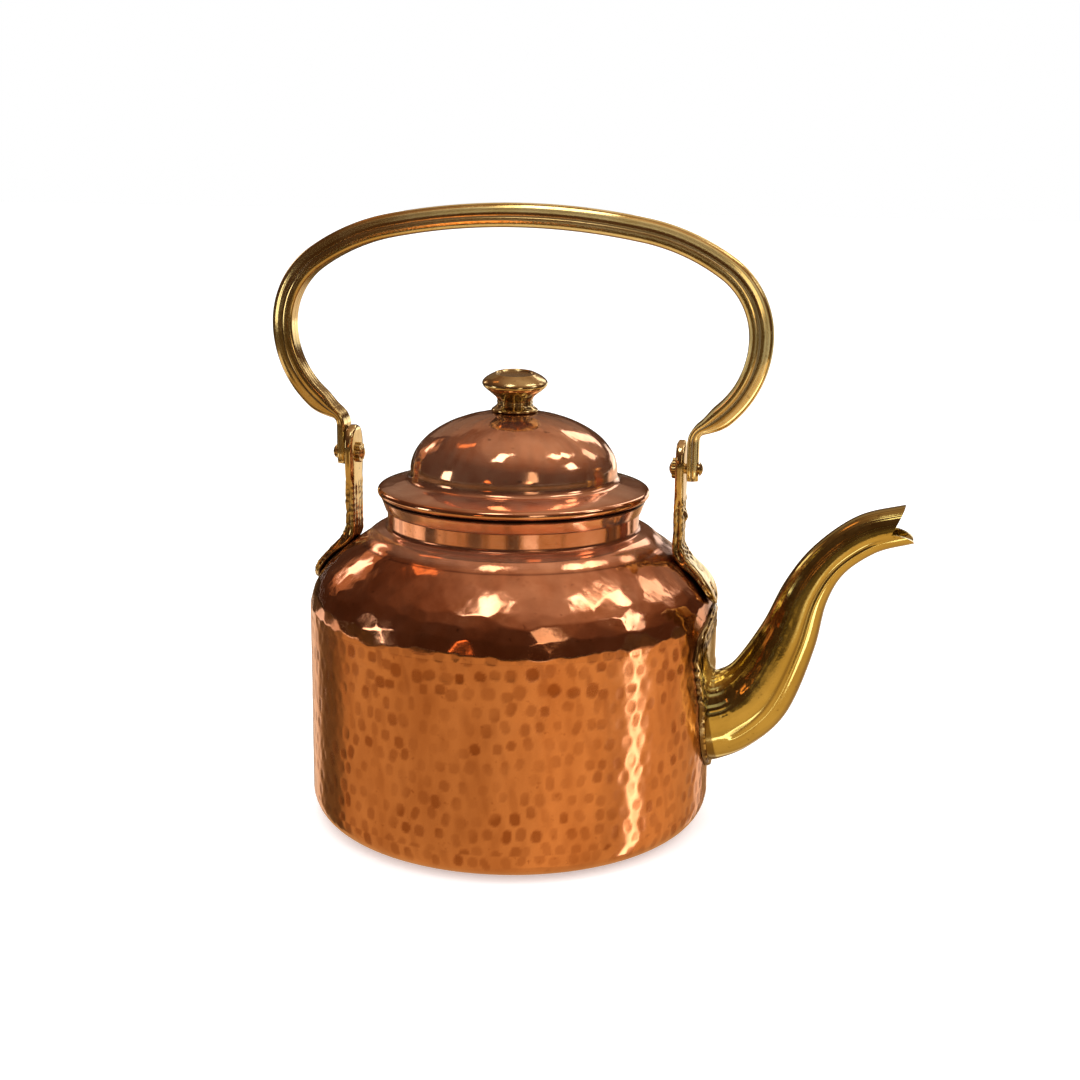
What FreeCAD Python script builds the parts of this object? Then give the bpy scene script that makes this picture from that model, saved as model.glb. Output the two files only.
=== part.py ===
import FreeCAD, Part
import math
import os

from FreeCAD import Placement, Rotation, Vector

# Hammered copper kettle with a swan-neck spout, a lift-off domed lid and a swinging bail.
# Millimetres. The origin is the centre of the flat base, +Z is up and +X points to the spout.

# Body
BODY_RADIUS = 75.0
SHEET = 1.2
BASE_FILLET = 10.0
WALL_TOP = 78.0
SHOULDER_EDGE_RADIUS = 22.0
SHOULDER_EDGE_TURN = 45.0
SHOULDER_CROWN_RADIUS = 77.5

# Neck
NECK_RADIUS = 46.4
NECK_FILLET = 1.6
NECK_HEIGHT = 5.2
RIM_HEIGHT = 4.9
RIM_LEDGE = 0.8
RIM_FLARE = 1.5
RIM_EDGE_RADIUS = 0.5

# Lid
LID_RADIUS = 50.0
LID_SHEET = 0.9
LID_BEAD_RADIUS = 1.6
LID_SEAT_GAP = 0.3
LID_ROLL_END = 170.0
LID_FLANGE_SLOPE = 16.0
DOME_RADIUS = 38.0
DOME_FILLET = 3.0
DOME_SIDE = 1.0
DOME_RISE = 21.5
SKIRT_DEPTH = 9.0
SKIRT_CLEARANCE = 0.5
WIRE_CLEARANCE = 0.25

# Knob and its fixing
KNOB_FOOT_RADIUS = 8.2
KNOB_WAIST_RADIUS = 6.3
KNOB_CAP_RADIUS = 11.9
KNOB_RECESS_RADIUS = 8.0
KNOB_RECESS_DEPTH = 1.2
KNOB_WAIST_HEIGHT = 3.0
KNOB_STEM_HEIGHT = 8.0
KNOB_UNDERCUT = 1.4
KNOB_EDGE = 1.0
KNOB_CAP_HEIGHT = 5.7
STEM_RING_RADIUS = 0.9
STUD_RADIUS = 2.0
STUD_CLEARANCE = 0.1
STUD_GRIP = 7.0
STUD_TAIL = 1.5
WASHER_RADIUS = 6.0
WASHER_THICKNESS = 1.0
NUT_ACROSS_FLATS = 7.0
NUT_HEIGHT = 3.2

# Spout: centre in x and z, heading in degrees, half height and half width of each station
SPOUT_STATIONS = [
    (66.0, 40.0, 4.0, 17.2, 14.4),
    (76.4, 41.4, 10.0, 16.6, 14.0),
    (84.6, 44.9, 28.0, 15.0, 12.9),
    (93.7, 53.9, 51.0, 13.3, 11.4),
    (102.5, 73.2, 68.0, 10.5, 9.6),
    (108.0, 90.3, 68.0, 8.4, 8.3),
    (115.7, 102.8, 51.0, 7.3, 7.4),
    (128.0, 112.6, 27.0, 7.3, 7.0),
    (141.0, 116.8, 14.0, 7.0, 7.4),
    (150.0, 118.6, 10.0, 6.8, 7.6),
]
SPOUT_WALL = 1.4
SPOUT_SQUARENESS = 2.3
SPOUT_SECTION_POINTS = 16
BEAK_UPPER_TIP_X = 140.6
BEAK_UPPER_TIP_Z = 123.3
BEAK_NOTCH_X = 136.1
BEAK_NOTCH_Z = 113.7
BEAK_LOWER_TIP_X = 144.5
BEAK_LOWER_TIP_Z = 111.2

# Spout plate, laid on the wall and shoulder
PLATE_THICKNESS = 1.6
PLATE_BOTTOM_Z = 21.5
PLATE_FOOT_GAP = 0.8
PLATE_WIDE_HALF = 24.0
PLATE_CROWN = 13.0
PLATE_WAIST_HALF = 17.0
PLATE_WAIST_Z = 50.0
PLATE_SCALLOP = 1.3
PLATE_SCALLOPS = 5
SOLDER_GAP = 0.05

# Bail: centre line of tangent arcs in the XZ plane
PIVOT_Z = 133.0
BAIL_RISE = 88.1
BAIL_HALF_WIDTH = 88.2
BAIL_CROWN_RADIUS = 245.0
BAIL_SIDE_RADIUS = 75.0
BAIL_SIDE_TURN = 35.0
BAIL_CORNER_RADIUS = 29.8
BAIL_RETURN_RADIUS = 36.3
BAIL_RETURN_TURN = 62.0
BAIL_OUTER_HEIGHT = 4.25
BAIL_INNER_HEIGHT = 4.4
BAIL_REED_HALF = 4.0
BAIL_GROOVE_HALF = 3.1
BAIL_GROOVE_OFFSET = -0.6
LEG_THICKNESS = 4.0
LEG_WIDTH = 9.6
LEG_SIDE_GAP = 0.4

# Brackets
EAR_INNER_X = 59.8
EAR_THICKNESS = 3.6
EAR_WIDTH = 15.0
EAR_RISE = 10.5
EAR_LOBE_DROP = 5.0
EAR_NECK_DROP = 11.0
POST_WIDTH = 12.6
POST_WAIST_WIDTH = 11.4
POST_WAIST_Z = 110.0
KNOT_RADIUS = 3.4
KNOT_Z = 115.5
FOOT_THICKNESS = 3.2
FOOT_TIP_TURN = 14.0
FOOT_HALF_WIDTH = 9.5
FOOT_TOP_RADIUS = 58.5

# Rivets
PIVOT_RADIUS = 1.9
PIVOT_CLEARANCE = 0.06
PIVOT_HEAD_RADIUS = 2.6
PIVOT_HEAD_HEIGHT = 1.2
ROSETTE_RADIUS = 3.8
ROSETTE_THICKNESS = 1.4
ROSETTE_PETALS = 8
FOOT_RIVET_RADIUS = 1.6
FOOT_RIVET_HEAD_RADIUS = 3.0
FOOT_RIVET_HEAD_HEIGHT = 1.4
FOOT_RIVET_TURNS = (30.0, 46.0)
FOOT_RIVET_CLEARANCE = 0.05
HEAD_SEAT_GAP = 0.12

Z_AXIS = Vector(0, 0, 1)
X_AXIS = Vector(1, 0, 0)
Y_AXIS = Vector(0, 1, 0)


def at(radius, height):
    """A point of a turned profile, in the XZ plane."""
    return Vector(radius, 0, height)


def polar(centre, radius, degrees):
    """A point on a circle of the XZ plane; 0 degrees is +X and 90 degrees is +Z."""
    angle = math.radians(degrees)
    return centre + Vector(radius * math.cos(angle), 0, radius * math.sin(angle))


def line(start, end):
    return Part.LineSegment(start, end).toShape()


def arc(centre, radius, first, last):
    """An arc of the XZ plane between two angles in degrees."""
    middle = polar(centre, radius, (first + last) / 2)
    return Part.Arc(polar(centre, radius, first), middle, polar(centre, radius, last)).toShape()


def arc_through(start, middle, end):
    return Part.Arc(start, middle, end).toShape()


def joined(edges):
    """A closed wire from edges in order, with straight lines where two ends are apart."""
    chain = []
    for edge in edges:
        start = edge.valueAt(edge.FirstParameter)
        if chain:
            last = chain[-1].valueAt(chain[-1].LastParameter)
            if last.distanceToPoint(start) > 1e-6:
                chain.append(line(last, start))
        chain.append(edge)
    first = chain[0].valueAt(chain[0].FirstParameter)
    last = chain[-1].valueAt(chain[-1].LastParameter)
    if last.distanceToPoint(first) > 1e-6:
        chain.append(line(last, first))
    return Part.Wire(chain)


def turned(edges):
    """The solid of revolution of a closed profile about the vertical axis."""
    return Part.Face(joined(edges)).revolve(Vector(), Z_AXIS, 360)


def polygon(points):
    return Part.makePolygon(list(points) + [points[0]])


def prism(wire, travel):
    return Part.Face(wire).extrude(travel)


def mirrored(shape):
    """The same piece at the other end of the pot."""
    return shape.mirror(Vector(), X_AXIS)


def reverse_arc(centre, radius, first, last):
    return arc(centre, radius, last, first)


# Places worked out from the sizes above
EDGE_CENTRE = at(BODY_RADIUS - SHOULDER_EDGE_RADIUS, WALL_TOP)
CROWN_CENTRE = polar(EDGE_CENTRE, SHOULDER_EDGE_RADIUS - SHOULDER_CROWN_RADIUS, SHOULDER_EDGE_TURN)
FILLET_CENTRE = at(
    NECK_RADIUS + NECK_FILLET,
    CROWN_CENTRE.z + math.sqrt(
        (SHOULDER_CROWN_RADIUS + NECK_FILLET) ** 2
        - (NECK_RADIUS + NECK_FILLET - CROWN_CENTRE.x) ** 2
    ),
)
CROWN_END = math.degrees(
    math.atan2(FILLET_CENTRE.z - CROWN_CENTRE.z, FILLET_CENTRE.x - CROWN_CENTRE.x)
)
NECK_TOP_Z = FILLET_CENTRE.z + NECK_HEIGHT
RIM_TOP_Z = NECK_TOP_Z + RIM_HEIGHT
NECK_BORE = NECK_RADIUS - SHEET
BEAD_CENTRE = at(LID_RADIUS - LID_BEAD_RADIUS, RIM_TOP_Z + LID_SEAT_GAP + LID_BEAD_RADIUS)
FLANGE_NORMAL = 90.0 - LID_FLANGE_SLOPE
BAIL_TOP_Z = PIVOT_Z + BAIL_RISE
EAR_TOP_Z = PIVOT_Z + EAR_RISE
EAR_OUTER_X = EAR_INNER_X + EAR_THICKNESS
LEG_INNER_X = EAR_OUTER_X + LEG_SIDE_GAP
LEG_OUTER_X = LEG_INNER_X + LEG_THICKNESS
FOOT_TIP = polar(EDGE_CENTRE, SHOULDER_EDGE_RADIUS, FOOT_TIP_TURN)
PLATE_TOP_Z = FOOT_TIP.z - PLATE_FOOT_GAP
PLATE_WIDE_Z = PLATE_TOP_Z - PLATE_CROWN


def wall_skin(inner, outer, top_turn):
    """A turned skin on the wall and shoulder, between two offsets from the outer surface."""
    skin_bottom = BASE_FILLET
    crown_inner = SHOULDER_CROWN_RADIUS + inner
    crown_outer = SHOULDER_CROWN_RADIUS + outer
    edge_inner = SHOULDER_EDGE_RADIUS + inner
    edge_outer = SHOULDER_EDGE_RADIUS + outer
    return turned([
        line(at(BODY_RADIUS + inner, skin_bottom), at(BODY_RADIUS + outer, skin_bottom)),
        arc(EDGE_CENTRE, edge_outer, 0, SHOULDER_EDGE_TURN),
        arc(CROWN_CENTRE, crown_outer, SHOULDER_EDGE_TURN, top_turn),
        reverse_arc(CROWN_CENTRE, crown_inner, SHOULDER_EDGE_TURN, top_turn),
        reverse_arc(EDGE_CENTRE, edge_inner, 0, SHOULDER_EDGE_TURN),
    ])


def pot_envelope(offset):
    """The solid that the wall, shoulder and neck enclose, grown by an offset."""
    return turned([
        line(at(0, 0), at(BODY_RADIUS + offset, 0)),
        arc(EDGE_CENTRE, SHOULDER_EDGE_RADIUS + offset, 0, SHOULDER_EDGE_TURN),
        arc(CROWN_CENTRE, SHOULDER_CROWN_RADIUS + offset, SHOULDER_EDGE_TURN, CROWN_END),
        line(at(0, FILLET_CENTRE.z), at(0, 0)),
    ])


def spout_wire(station, wall):
    """One closed section of the spout, square to its centre line."""
    x, z, heading, half_height, half_width = station
    up = Vector(-math.sin(math.radians(heading)), 0, math.cos(math.radians(heading)))
    points = []
    for step in range(SPOUT_SECTION_POINTS):
        angle = 2 * math.pi * step / SPOUT_SECTION_POINTS
        across = math.sin(angle)
        above = math.cos(angle)
        power = SPOUT_SQUARENESS
        reach = (abs(across) ** power + abs(above) ** power) ** (-1 / power)
        points.append(
            Vector(x, 0, z)
            + up * ((half_height - wall) * above * reach)
            + Y_AXIS * ((half_width - wall) * across * reach)
        )
    curve = Part.BSplineCurve()
    curve.interpolate(Points=points, PeriodicFlag=True)
    return Part.Wire([curve.toShape()])


def spout_loft(wall):
    return Part.makeLoft([spout_wire(station, wall) for station in SPOUT_STATIONS], True, False)


def make_body_cup(passage):
    inner_fillet = BASE_FILLET - SHEET
    fillet_centre = at(BODY_RADIUS - BASE_FILLET, BASE_FILLET)
    cup = turned([
        line(at(0, 0), at(BODY_RADIUS - BASE_FILLET, 0)),
        arc(fillet_centre, BASE_FILLET, -90, 0),
        line(at(BODY_RADIUS, WALL_TOP), at(BODY_RADIUS - SHEET, WALL_TOP)),
        reverse_arc(fillet_centre, inner_fillet, -90, 0),
        line(at(0, SHEET), at(0, 0)),
    ])
    return cup.cut(passage)


def make_shoulder(foot_holes):
    crown_inner = SHOULDER_CROWN_RADIUS - SHEET
    edge_inner = SHOULDER_EDGE_RADIUS - SHEET
    fillet_end = 180.0
    fillet_start = 180.0 + CROWN_END
    shell = turned([
        arc(EDGE_CENTRE, SHOULDER_EDGE_RADIUS, 0, SHOULDER_EDGE_TURN),
        arc(CROWN_CENTRE, SHOULDER_CROWN_RADIUS, SHOULDER_EDGE_TURN, CROWN_END),
        arc(FILLET_CENTRE, NECK_FILLET, fillet_start, fillet_end),
        line(at(NECK_RADIUS, NECK_TOP_Z), at(NECK_BORE, NECK_TOP_Z)),
        reverse_arc(FILLET_CENTRE, NECK_FILLET + SHEET, fillet_start, fillet_end),
        reverse_arc(CROWN_CENTRE, crown_inner, SHOULDER_EDGE_TURN, CROWN_END),
        reverse_arc(EDGE_CENTRE, edge_inner, 0, SHOULDER_EDGE_TURN),
    ])
    return shell.cut(foot_holes)


def make_neck_rim():
    ledge_radius = NECK_RADIUS + RIM_LEDGE
    lip_radius = ledge_radius + RIM_FLARE
    lip_centre = at(lip_radius - RIM_EDGE_RADIUS, RIM_TOP_Z - RIM_EDGE_RADIUS)
    return turned([
        line(at(NECK_BORE, NECK_TOP_Z), at(ledge_radius, NECK_TOP_Z)),
        arc(lip_centre, RIM_EDGE_RADIUS, 0, 90),
        line(at(NECK_BORE, RIM_TOP_Z), at(NECK_BORE, NECK_TOP_Z)),
    ])


def flange_height(radius, depth):
    """Height of the lid's sloping flange at a radius, at a depth below its upper face."""
    contact = polar(BEAD_CENTRE, LID_BEAD_RADIUS - depth, FLANGE_NORMAL)
    return contact.z + (contact.x - radius) * math.tan(math.radians(LID_FLANGE_SLOPE))


def dome_fillet_centre():
    """Centre of the hollow fillet between the flange and the dome's side."""
    radius = DOME_RADIUS + DOME_FILLET
    rise = DOME_FILLET / math.cos(math.radians(LID_FLANGE_SLOPE))
    return at(radius, flange_height(radius, 0) + rise)


DOME_BASE_Z = dome_fillet_centre().z + DOME_SIDE
DOME_TOP_Z = DOME_BASE_Z + DOME_RISE


def dome_edge(offset, downward):
    """A quarter ellipse between the dome's top and side, at an offset from the outer face."""
    side = at(DOME_RADIUS + offset, DOME_BASE_Z)
    top = at(0, DOME_TOP_Z + offset)
    quarter = Part.ArcOfEllipse(Part.Ellipse(side, top, at(0, DOME_BASE_Z)), 0, math.pi / 2)
    if downward:
        quarter.reverse()
    return quarter.toShape()


def dome_height(radius, offset):
    share = radius / (DOME_RADIUS + offset)
    return DOME_BASE_Z + (DOME_RISE + offset) * math.sqrt(1 - share ** 2)


def make_lid_shell():
    hollow = dome_fillet_centre()
    hollow_end = 270.0 - LID_FLANGE_SLOPE
    roll_end = LID_ROLL_END - 360.0
    shell = turned([
        dome_edge(0, True),
        arc(hollow, DOME_FILLET, 180, hollow_end),
        arc(BEAD_CENTRE, LID_BEAD_RADIUS, FLANGE_NORMAL, roll_end),
        arc(BEAD_CENTRE, LID_BEAD_RADIUS - LID_SHEET, roll_end, FLANGE_NORMAL),
        arc(hollow, DOME_FILLET + LID_SHEET, hollow_end, 180),
        dome_edge(-LID_SHEET, False),
    ])
    stud_hole = Part.makeCylinder(STUD_RADIUS + STUD_CLEARANCE, DOME_TOP_Z)
    return shell.cut(stud_hole)


def make_lid_rim_wire():
    wire_radius = LID_BEAD_RADIUS - LID_SHEET - WIRE_CLEARANCE
    return Part.makeTorus(BEAD_CENTRE.x, wire_radius, at(0, BEAD_CENTRE.z))


def make_lid_skirt():
    outer = NECK_BORE - SKIRT_CLEARANCE
    top = flange_height(outer, LID_SHEET) - SOLDER_GAP
    bottom = RIM_TOP_Z - SKIRT_DEPTH
    ring = Part.makeCylinder(outer, top - bottom, at(0, bottom))
    return ring.cut(Part.makeCylinder(outer - LID_SHEET, top - bottom, at(0, bottom)))


def cap_edge(radius, base, height, from_crown):
    """A ball's outline between its rim, at the base, and its crown on the axis."""
    ball = (radius ** 2 + height ** 2) / (2 * abs(height))
    half_turn = math.asin(radius / ball) / 2
    sink = math.copysign(ball * (1 - math.cos(half_turn)), height)
    crown = at(0, base + height)
    middle = at(ball * math.sin(half_turn), crown.z - sink)
    rim = at(radius, base)
    return arc_through(crown, middle, rim) if from_crown else arc_through(rim, middle, crown)


def make_knob():
    foot_z = dome_height(KNOB_FOOT_RADIUS, 0)
    ring_z = DOME_TOP_Z + KNOB_WAIST_HEIGHT
    cap_z = DOME_TOP_Z + KNOB_STEM_HEIGHT
    edge_z = cap_z + KNOB_UNDERCUT
    top_z = cap_z + KNOB_CAP_HEIGHT
    ring_bottom = at(KNOB_WAIST_RADIUS, ring_z - STEM_RING_RADIUS)
    ring_top = at(KNOB_WAIST_RADIUS, ring_z + STEM_RING_RADIUS)
    cap_under = at(KNOB_CAP_RADIUS - KNOB_UNDERCUT / 2, cap_z)
    cap_edge_top = at(KNOB_CAP_RADIUS, edge_z + KNOB_EDGE)
    lip = at(KNOB_RECESS_RADIUS + KNOB_EDGE, top_z)
    recess_z = top_z - KNOB_EDGE / 2
    body = turned([
        line(at(0, foot_z - LID_SHEET), at(KNOB_FOOT_RADIUS, foot_z - LID_SHEET)),
        arc_through(
            at(KNOB_FOOT_RADIUS, DOME_TOP_Z),
            at(KNOB_WAIST_RADIUS + KNOB_EDGE / 2, (DOME_TOP_Z + ring_bottom.z) / 2),
            ring_bottom,
        ),
        arc_through(ring_bottom, at(KNOB_WAIST_RADIUS + STEM_RING_RADIUS, ring_z), ring_top),
        arc_through(
            ring_top,
            at(KNOB_WAIST_RADIUS + KNOB_EDGE, (ring_top.z + cap_under.z) / 2),
            cap_under,
        ),
        line(at(KNOB_CAP_RADIUS, edge_z), cap_edge_top),
        arc_through(
            cap_edge_top,
            at((cap_edge_top.x + lip.x) / 2 + KNOB_EDGE / 2, (cap_edge_top.z + lip.z) / 2 + KNOB_EDGE / 2),
            lip,
        ),
        cap_edge(KNOB_RECESS_RADIUS, recess_z, -KNOB_RECESS_DEPTH, False),
    ])
    dome = turned([dome_edge(SOLDER_GAP, True), line(at(0, DOME_BASE_Z), at(0, DOME_TOP_Z))])
    stud_hole = Part.makeCylinder(STUD_RADIUS + STUD_CLEARANCE, DOME_TOP_Z + STUD_GRIP)
    return body.cut(dome).cut(stud_hole)


def washer_top():
    return dome_height(WASHER_RADIUS, -LID_SHEET) - SOLDER_GAP


def make_knob_washer():
    bottom = at(0, washer_top() - WASHER_THICKNESS)
    disc = Part.makeCylinder(WASHER_RADIUS, WASHER_THICKNESS, bottom)
    return disc.cut(Part.makeCylinder(STUD_RADIUS + STUD_CLEARANCE, WASHER_THICKNESS, bottom))


def nut_bottom():
    return washer_top() - WASHER_THICKNESS - NUT_HEIGHT


def make_knob_nut():
    corner = NUT_ACROSS_FLATS / math.sqrt(3)
    corners = [
        Vector(corner * math.cos(math.pi * side / 3), corner * math.sin(math.pi * side / 3), nut_bottom())
        for side in range(6)
    ]
    nut = prism(polygon(corners), Vector(0, 0, NUT_HEIGHT))
    return nut.cut(Part.makeCylinder(STUD_RADIUS + STUD_CLEARANCE, NUT_HEIGHT, at(0, nut_bottom())))


def make_knob_stud():
    bottom = nut_bottom() - STUD_TAIL
    length = DOME_TOP_Z + STUD_GRIP - SOLDER_GAP - bottom
    return Part.makeCylinder(STUD_RADIUS, length, at(0, bottom))


def make_spout(passage):
    plate_face = Part.makeCylinder(BODY_RADIUS + PLATE_THICKNESS + 2 * SOLDER_GAP, WALL_TOP)
    beyond_x = BEAK_LOWER_TIP_X + 3 * SPOUT_WALL + BODY_RADIUS
    above_z = BEAK_NOTCH_Z + BODY_RADIUS
    slope = (BEAK_UPPER_TIP_X - BEAK_NOTCH_X) / (BEAK_UPPER_TIP_Z - BEAK_NOTCH_Z)
    mouth = prism(
        polygon([
            Vector(BEAK_NOTCH_X, -BODY_RADIUS, BEAK_NOTCH_Z),
            Vector(BEAK_NOTCH_X + slope * BODY_RADIUS, -BODY_RADIUS, above_z),
            Vector(beyond_x, -BODY_RADIUS, above_z),
            Vector(beyond_x, -BODY_RADIUS, BEAK_LOWER_TIP_Z),
            Vector(BEAK_LOWER_TIP_X, -BODY_RADIUS, BEAK_LOWER_TIP_Z),
        ]),
        Vector(0, 2 * BODY_RADIUS, 0),
    )
    lower_end = Part.makeBox(
        BODY_RADIUS, 2 * BODY_RADIUS, 2 * BODY_RADIUS,
        Vector(BEAK_LOWER_TIP_X, -BODY_RADIUS, 0),
    )
    return spout_loft(0).cut(passage).cut(plate_face).cut(mouth).cut(lower_end)


def plate_side(sign):
    """The scalloped edge of the spout plate from its waist to its widest place."""
    edges = []
    step_y = (PLATE_WIDE_HALF - PLATE_WAIST_HALF) / PLATE_SCALLOPS
    step_z = (PLATE_WIDE_Z - PLATE_WAIST_Z) / PLATE_SCALLOPS
    for scallop in range(PLATE_SCALLOPS):
        start_y = PLATE_WAIST_HALF + scallop * step_y
        start_z = PLATE_WAIST_Z + scallop * step_z
        edges.append(arc_through(
            Vector(0, sign * start_y, start_z),
            Vector(0, sign * (start_y + step_y / 2 + PLATE_SCALLOP), start_z + step_z / 2),
            Vector(0, sign * (start_y + step_y), start_z + step_z),
        ))
    return edges


def make_spout_plate(passage):
    top = arc_through(
        Vector(0, PLATE_WIDE_HALF, PLATE_WIDE_Z),
        Vector(0, 0, PLATE_TOP_Z),
        Vector(0, -PLATE_WIDE_HALF, PLATE_WIDE_Z),
    )
    bottom = arc_through(
        Vector(0, -PLATE_WAIST_HALF, PLATE_WAIST_Z),
        Vector(0, 0, PLATE_BOTTOM_Z),
        Vector(0, PLATE_WAIST_HALF, PLATE_WAIST_Z),
    )
    outline = Part.Wire(Part.__sortEdges__(plate_side(1) + [top] + plate_side(-1) + [bottom]))
    skin = wall_skin(SOLDER_GAP, SOLDER_GAP + PLATE_THICKNESS, CROWN_END)
    return skin.common(prism(outline, Vector(2 * BODY_RADIUS, 0, 0))).cut(passage)


def shoulder_place(turn, offset):
    """A placement on the shoulder over +X, its Z axis along the outward normal."""
    if turn <= SHOULDER_EDGE_TURN:
        point = polar(EDGE_CENTRE, SHOULDER_EDGE_RADIUS + offset, turn)
    else:
        point = polar(CROWN_CENTRE, SHOULDER_CROWN_RADIUS + offset, turn)
    return Placement(point, Rotation(Y_AXIS, 90.0 - turn))


def foot_rivet_seat():
    """How far a foot rivet's flat head stands off the hollow side of the shoulder's edge."""
    hollow = SHOULDER_EDGE_RADIUS - SHEET
    return hollow - math.sqrt(hollow ** 2 - FOOT_RIVET_HEAD_RADIUS ** 2) + HEAD_SEAT_GAP


def foot_rivet(turn):
    head_base = -foot_rivet_seat() - SHEET
    head_end = head_base - FOOT_RIVET_HEAD_HEIGHT
    flush_end = FOOT_THICKNESS - HEAD_SEAT_GAP
    rivet = turned([
        line(at(0, head_end), at(FOOT_RIVET_RADIUS, head_end)),
        line(at(FOOT_RIVET_HEAD_RADIUS, head_base), at(FOOT_RIVET_RADIUS, head_base)),
        line(at(FOOT_RIVET_RADIUS, flush_end), at(0, flush_end)),
    ])
    rivet.Placement = shoulder_place(turn, 0)
    return rivet


def foot_rivet_hole(turn):
    hole = Part.makeCylinder(
        FOOT_RIVET_RADIUS + FOOT_RIVET_CLEARANCE, 4 * FOOT_THICKNESS, at(0, -2 * FOOT_THICKNESS),
    )
    hole.Placement = shoulder_place(turn, 0).multiply(hole.Placement)
    return hole


def make_foot():
    """The leaf-shaped foot that lies on the shoulder, from the post down to its tip."""
    top_turn = math.degrees(math.acos((FOOT_TOP_RADIUS - CROWN_CENTRE.x) / SHOULDER_CROWN_RADIUS))
    chord = FOOT_TIP - polar(CROWN_CENTRE, SHOULDER_CROWN_RADIUS, top_turn)
    outward = Vector(-chord.z, 0, chord.x).normalize()
    reach = outward * chord.Length
    tip = FOOT_TIP - reach
    top = tip - chord
    edges = [line(top + Y_AXIS * (POST_WIDTH / 2), top - Y_AXIS * (POST_WIDTH / 2))]
    for side in (1, -1):
        edges.append(arc_through(
            top + Y_AXIS * (side * POST_WIDTH / 2),
            (top + tip) * 0.5 + Y_AXIS * (side * FOOT_HALF_WIDTH),
            tip,
        ))
    outline = Part.Wire(Part.__sortEdges__(edges))
    return wall_skin(SOLDER_GAP, FOOT_THICKNESS, CROWN_END).common(prism(outline, reach * 2))


def make_ear():
    """The ear's round lobe and the post under it, down past the shoulder's surface."""
    lobe_z = EAR_TOP_Z - EAR_WIDTH / 2

    def side_points(side):
        widths_and_heights = [
            (EAR_WIDTH, lobe_z),
            (EAR_WIDTH, PIVOT_Z - EAR_LOBE_DROP),
            (POST_WIDTH, PIVOT_Z - EAR_NECK_DROP),
            (POST_WAIST_WIDTH, POST_WAIST_Z),
            (POST_WIDTH, WALL_TOP),
        ]
        return [Vector(EAR_INNER_X, side * width / 2, height) for width, height in widths_and_heights]

    left = side_points(-1)
    right = side_points(1)
    outline = joined(
        [arc_through(left[0], Vector(EAR_INNER_X, 0, EAR_TOP_Z), right[0])]
        + [line(start, end) for start, end in zip(right, right[1:])]
        + [line(end, start) for start, end in zip(left[-2::-1], left[:0:-1])]
    )
    return prism(outline, X_AXIS * EAR_THICKNESS)


def pivot_hole(start_x, length):
    """A hole along X for the pivot rivet, with its running clearance."""
    return Part.makeCylinder(PIVOT_RADIUS + PIVOT_CLEARANCE, length, at(start_x, PIVOT_Z), X_AXIS)


def make_bracket():
    knot = Part.makeSphere(KNOT_RADIUS, Vector(EAR_INNER_X + EAR_THICKNESS / 2, 0, KNOT_Z))
    bracket = make_ear().fuse(knot).cut(pot_envelope(SOLDER_GAP)).fuse(make_foot())
    holes = [foot_rivet_hole(turn) for turn in FOOT_RIVET_TURNS]
    return bracket.cut(holes + [pivot_hole(EAR_INNER_X, EAR_THICKNESS)]).removeSplitter()


def bail_crown_turn():
    """Half the crown arc's angle, from the half width that the three arcs span together."""
    side_span = (BAIL_SIDE_RADIUS - BAIL_CORNER_RADIUS) * math.sin(math.radians(BAIL_SIDE_TURN))
    crown_span = BAIL_HALF_WIDTH - BAIL_CORNER_RADIUS - side_span
    return math.degrees(math.asin(crown_span / (BAIL_CROWN_RADIUS - BAIL_SIDE_RADIUS)))


def bail_arcs():
    """Centre, radius and the two angles of each arc from the crown to the right-hand leg."""
    crown = at(0, BAIL_TOP_Z - BAIL_CROWN_RADIUS)
    side_start = 90.0 - bail_crown_turn()
    side = polar(crown, BAIL_CROWN_RADIUS - BAIL_SIDE_RADIUS, side_start)
    corner_start = 90.0 - BAIL_SIDE_TURN
    corner = polar(side, BAIL_SIDE_RADIUS - BAIL_CORNER_RADIUS, corner_start)
    back = polar(corner, BAIL_CORNER_RADIUS - BAIL_RETURN_RADIUS, 0)
    return [
        (crown, BAIL_CROWN_RADIUS, 180.0 - side_start, side_start),
        (side, BAIL_SIDE_RADIUS, side_start, corner_start),
        (corner, BAIL_CORNER_RADIUS, corner_start, 0),
        (back, BAIL_RETURN_RADIUS, 0, -BAIL_RETURN_TURN),
    ]


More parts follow.
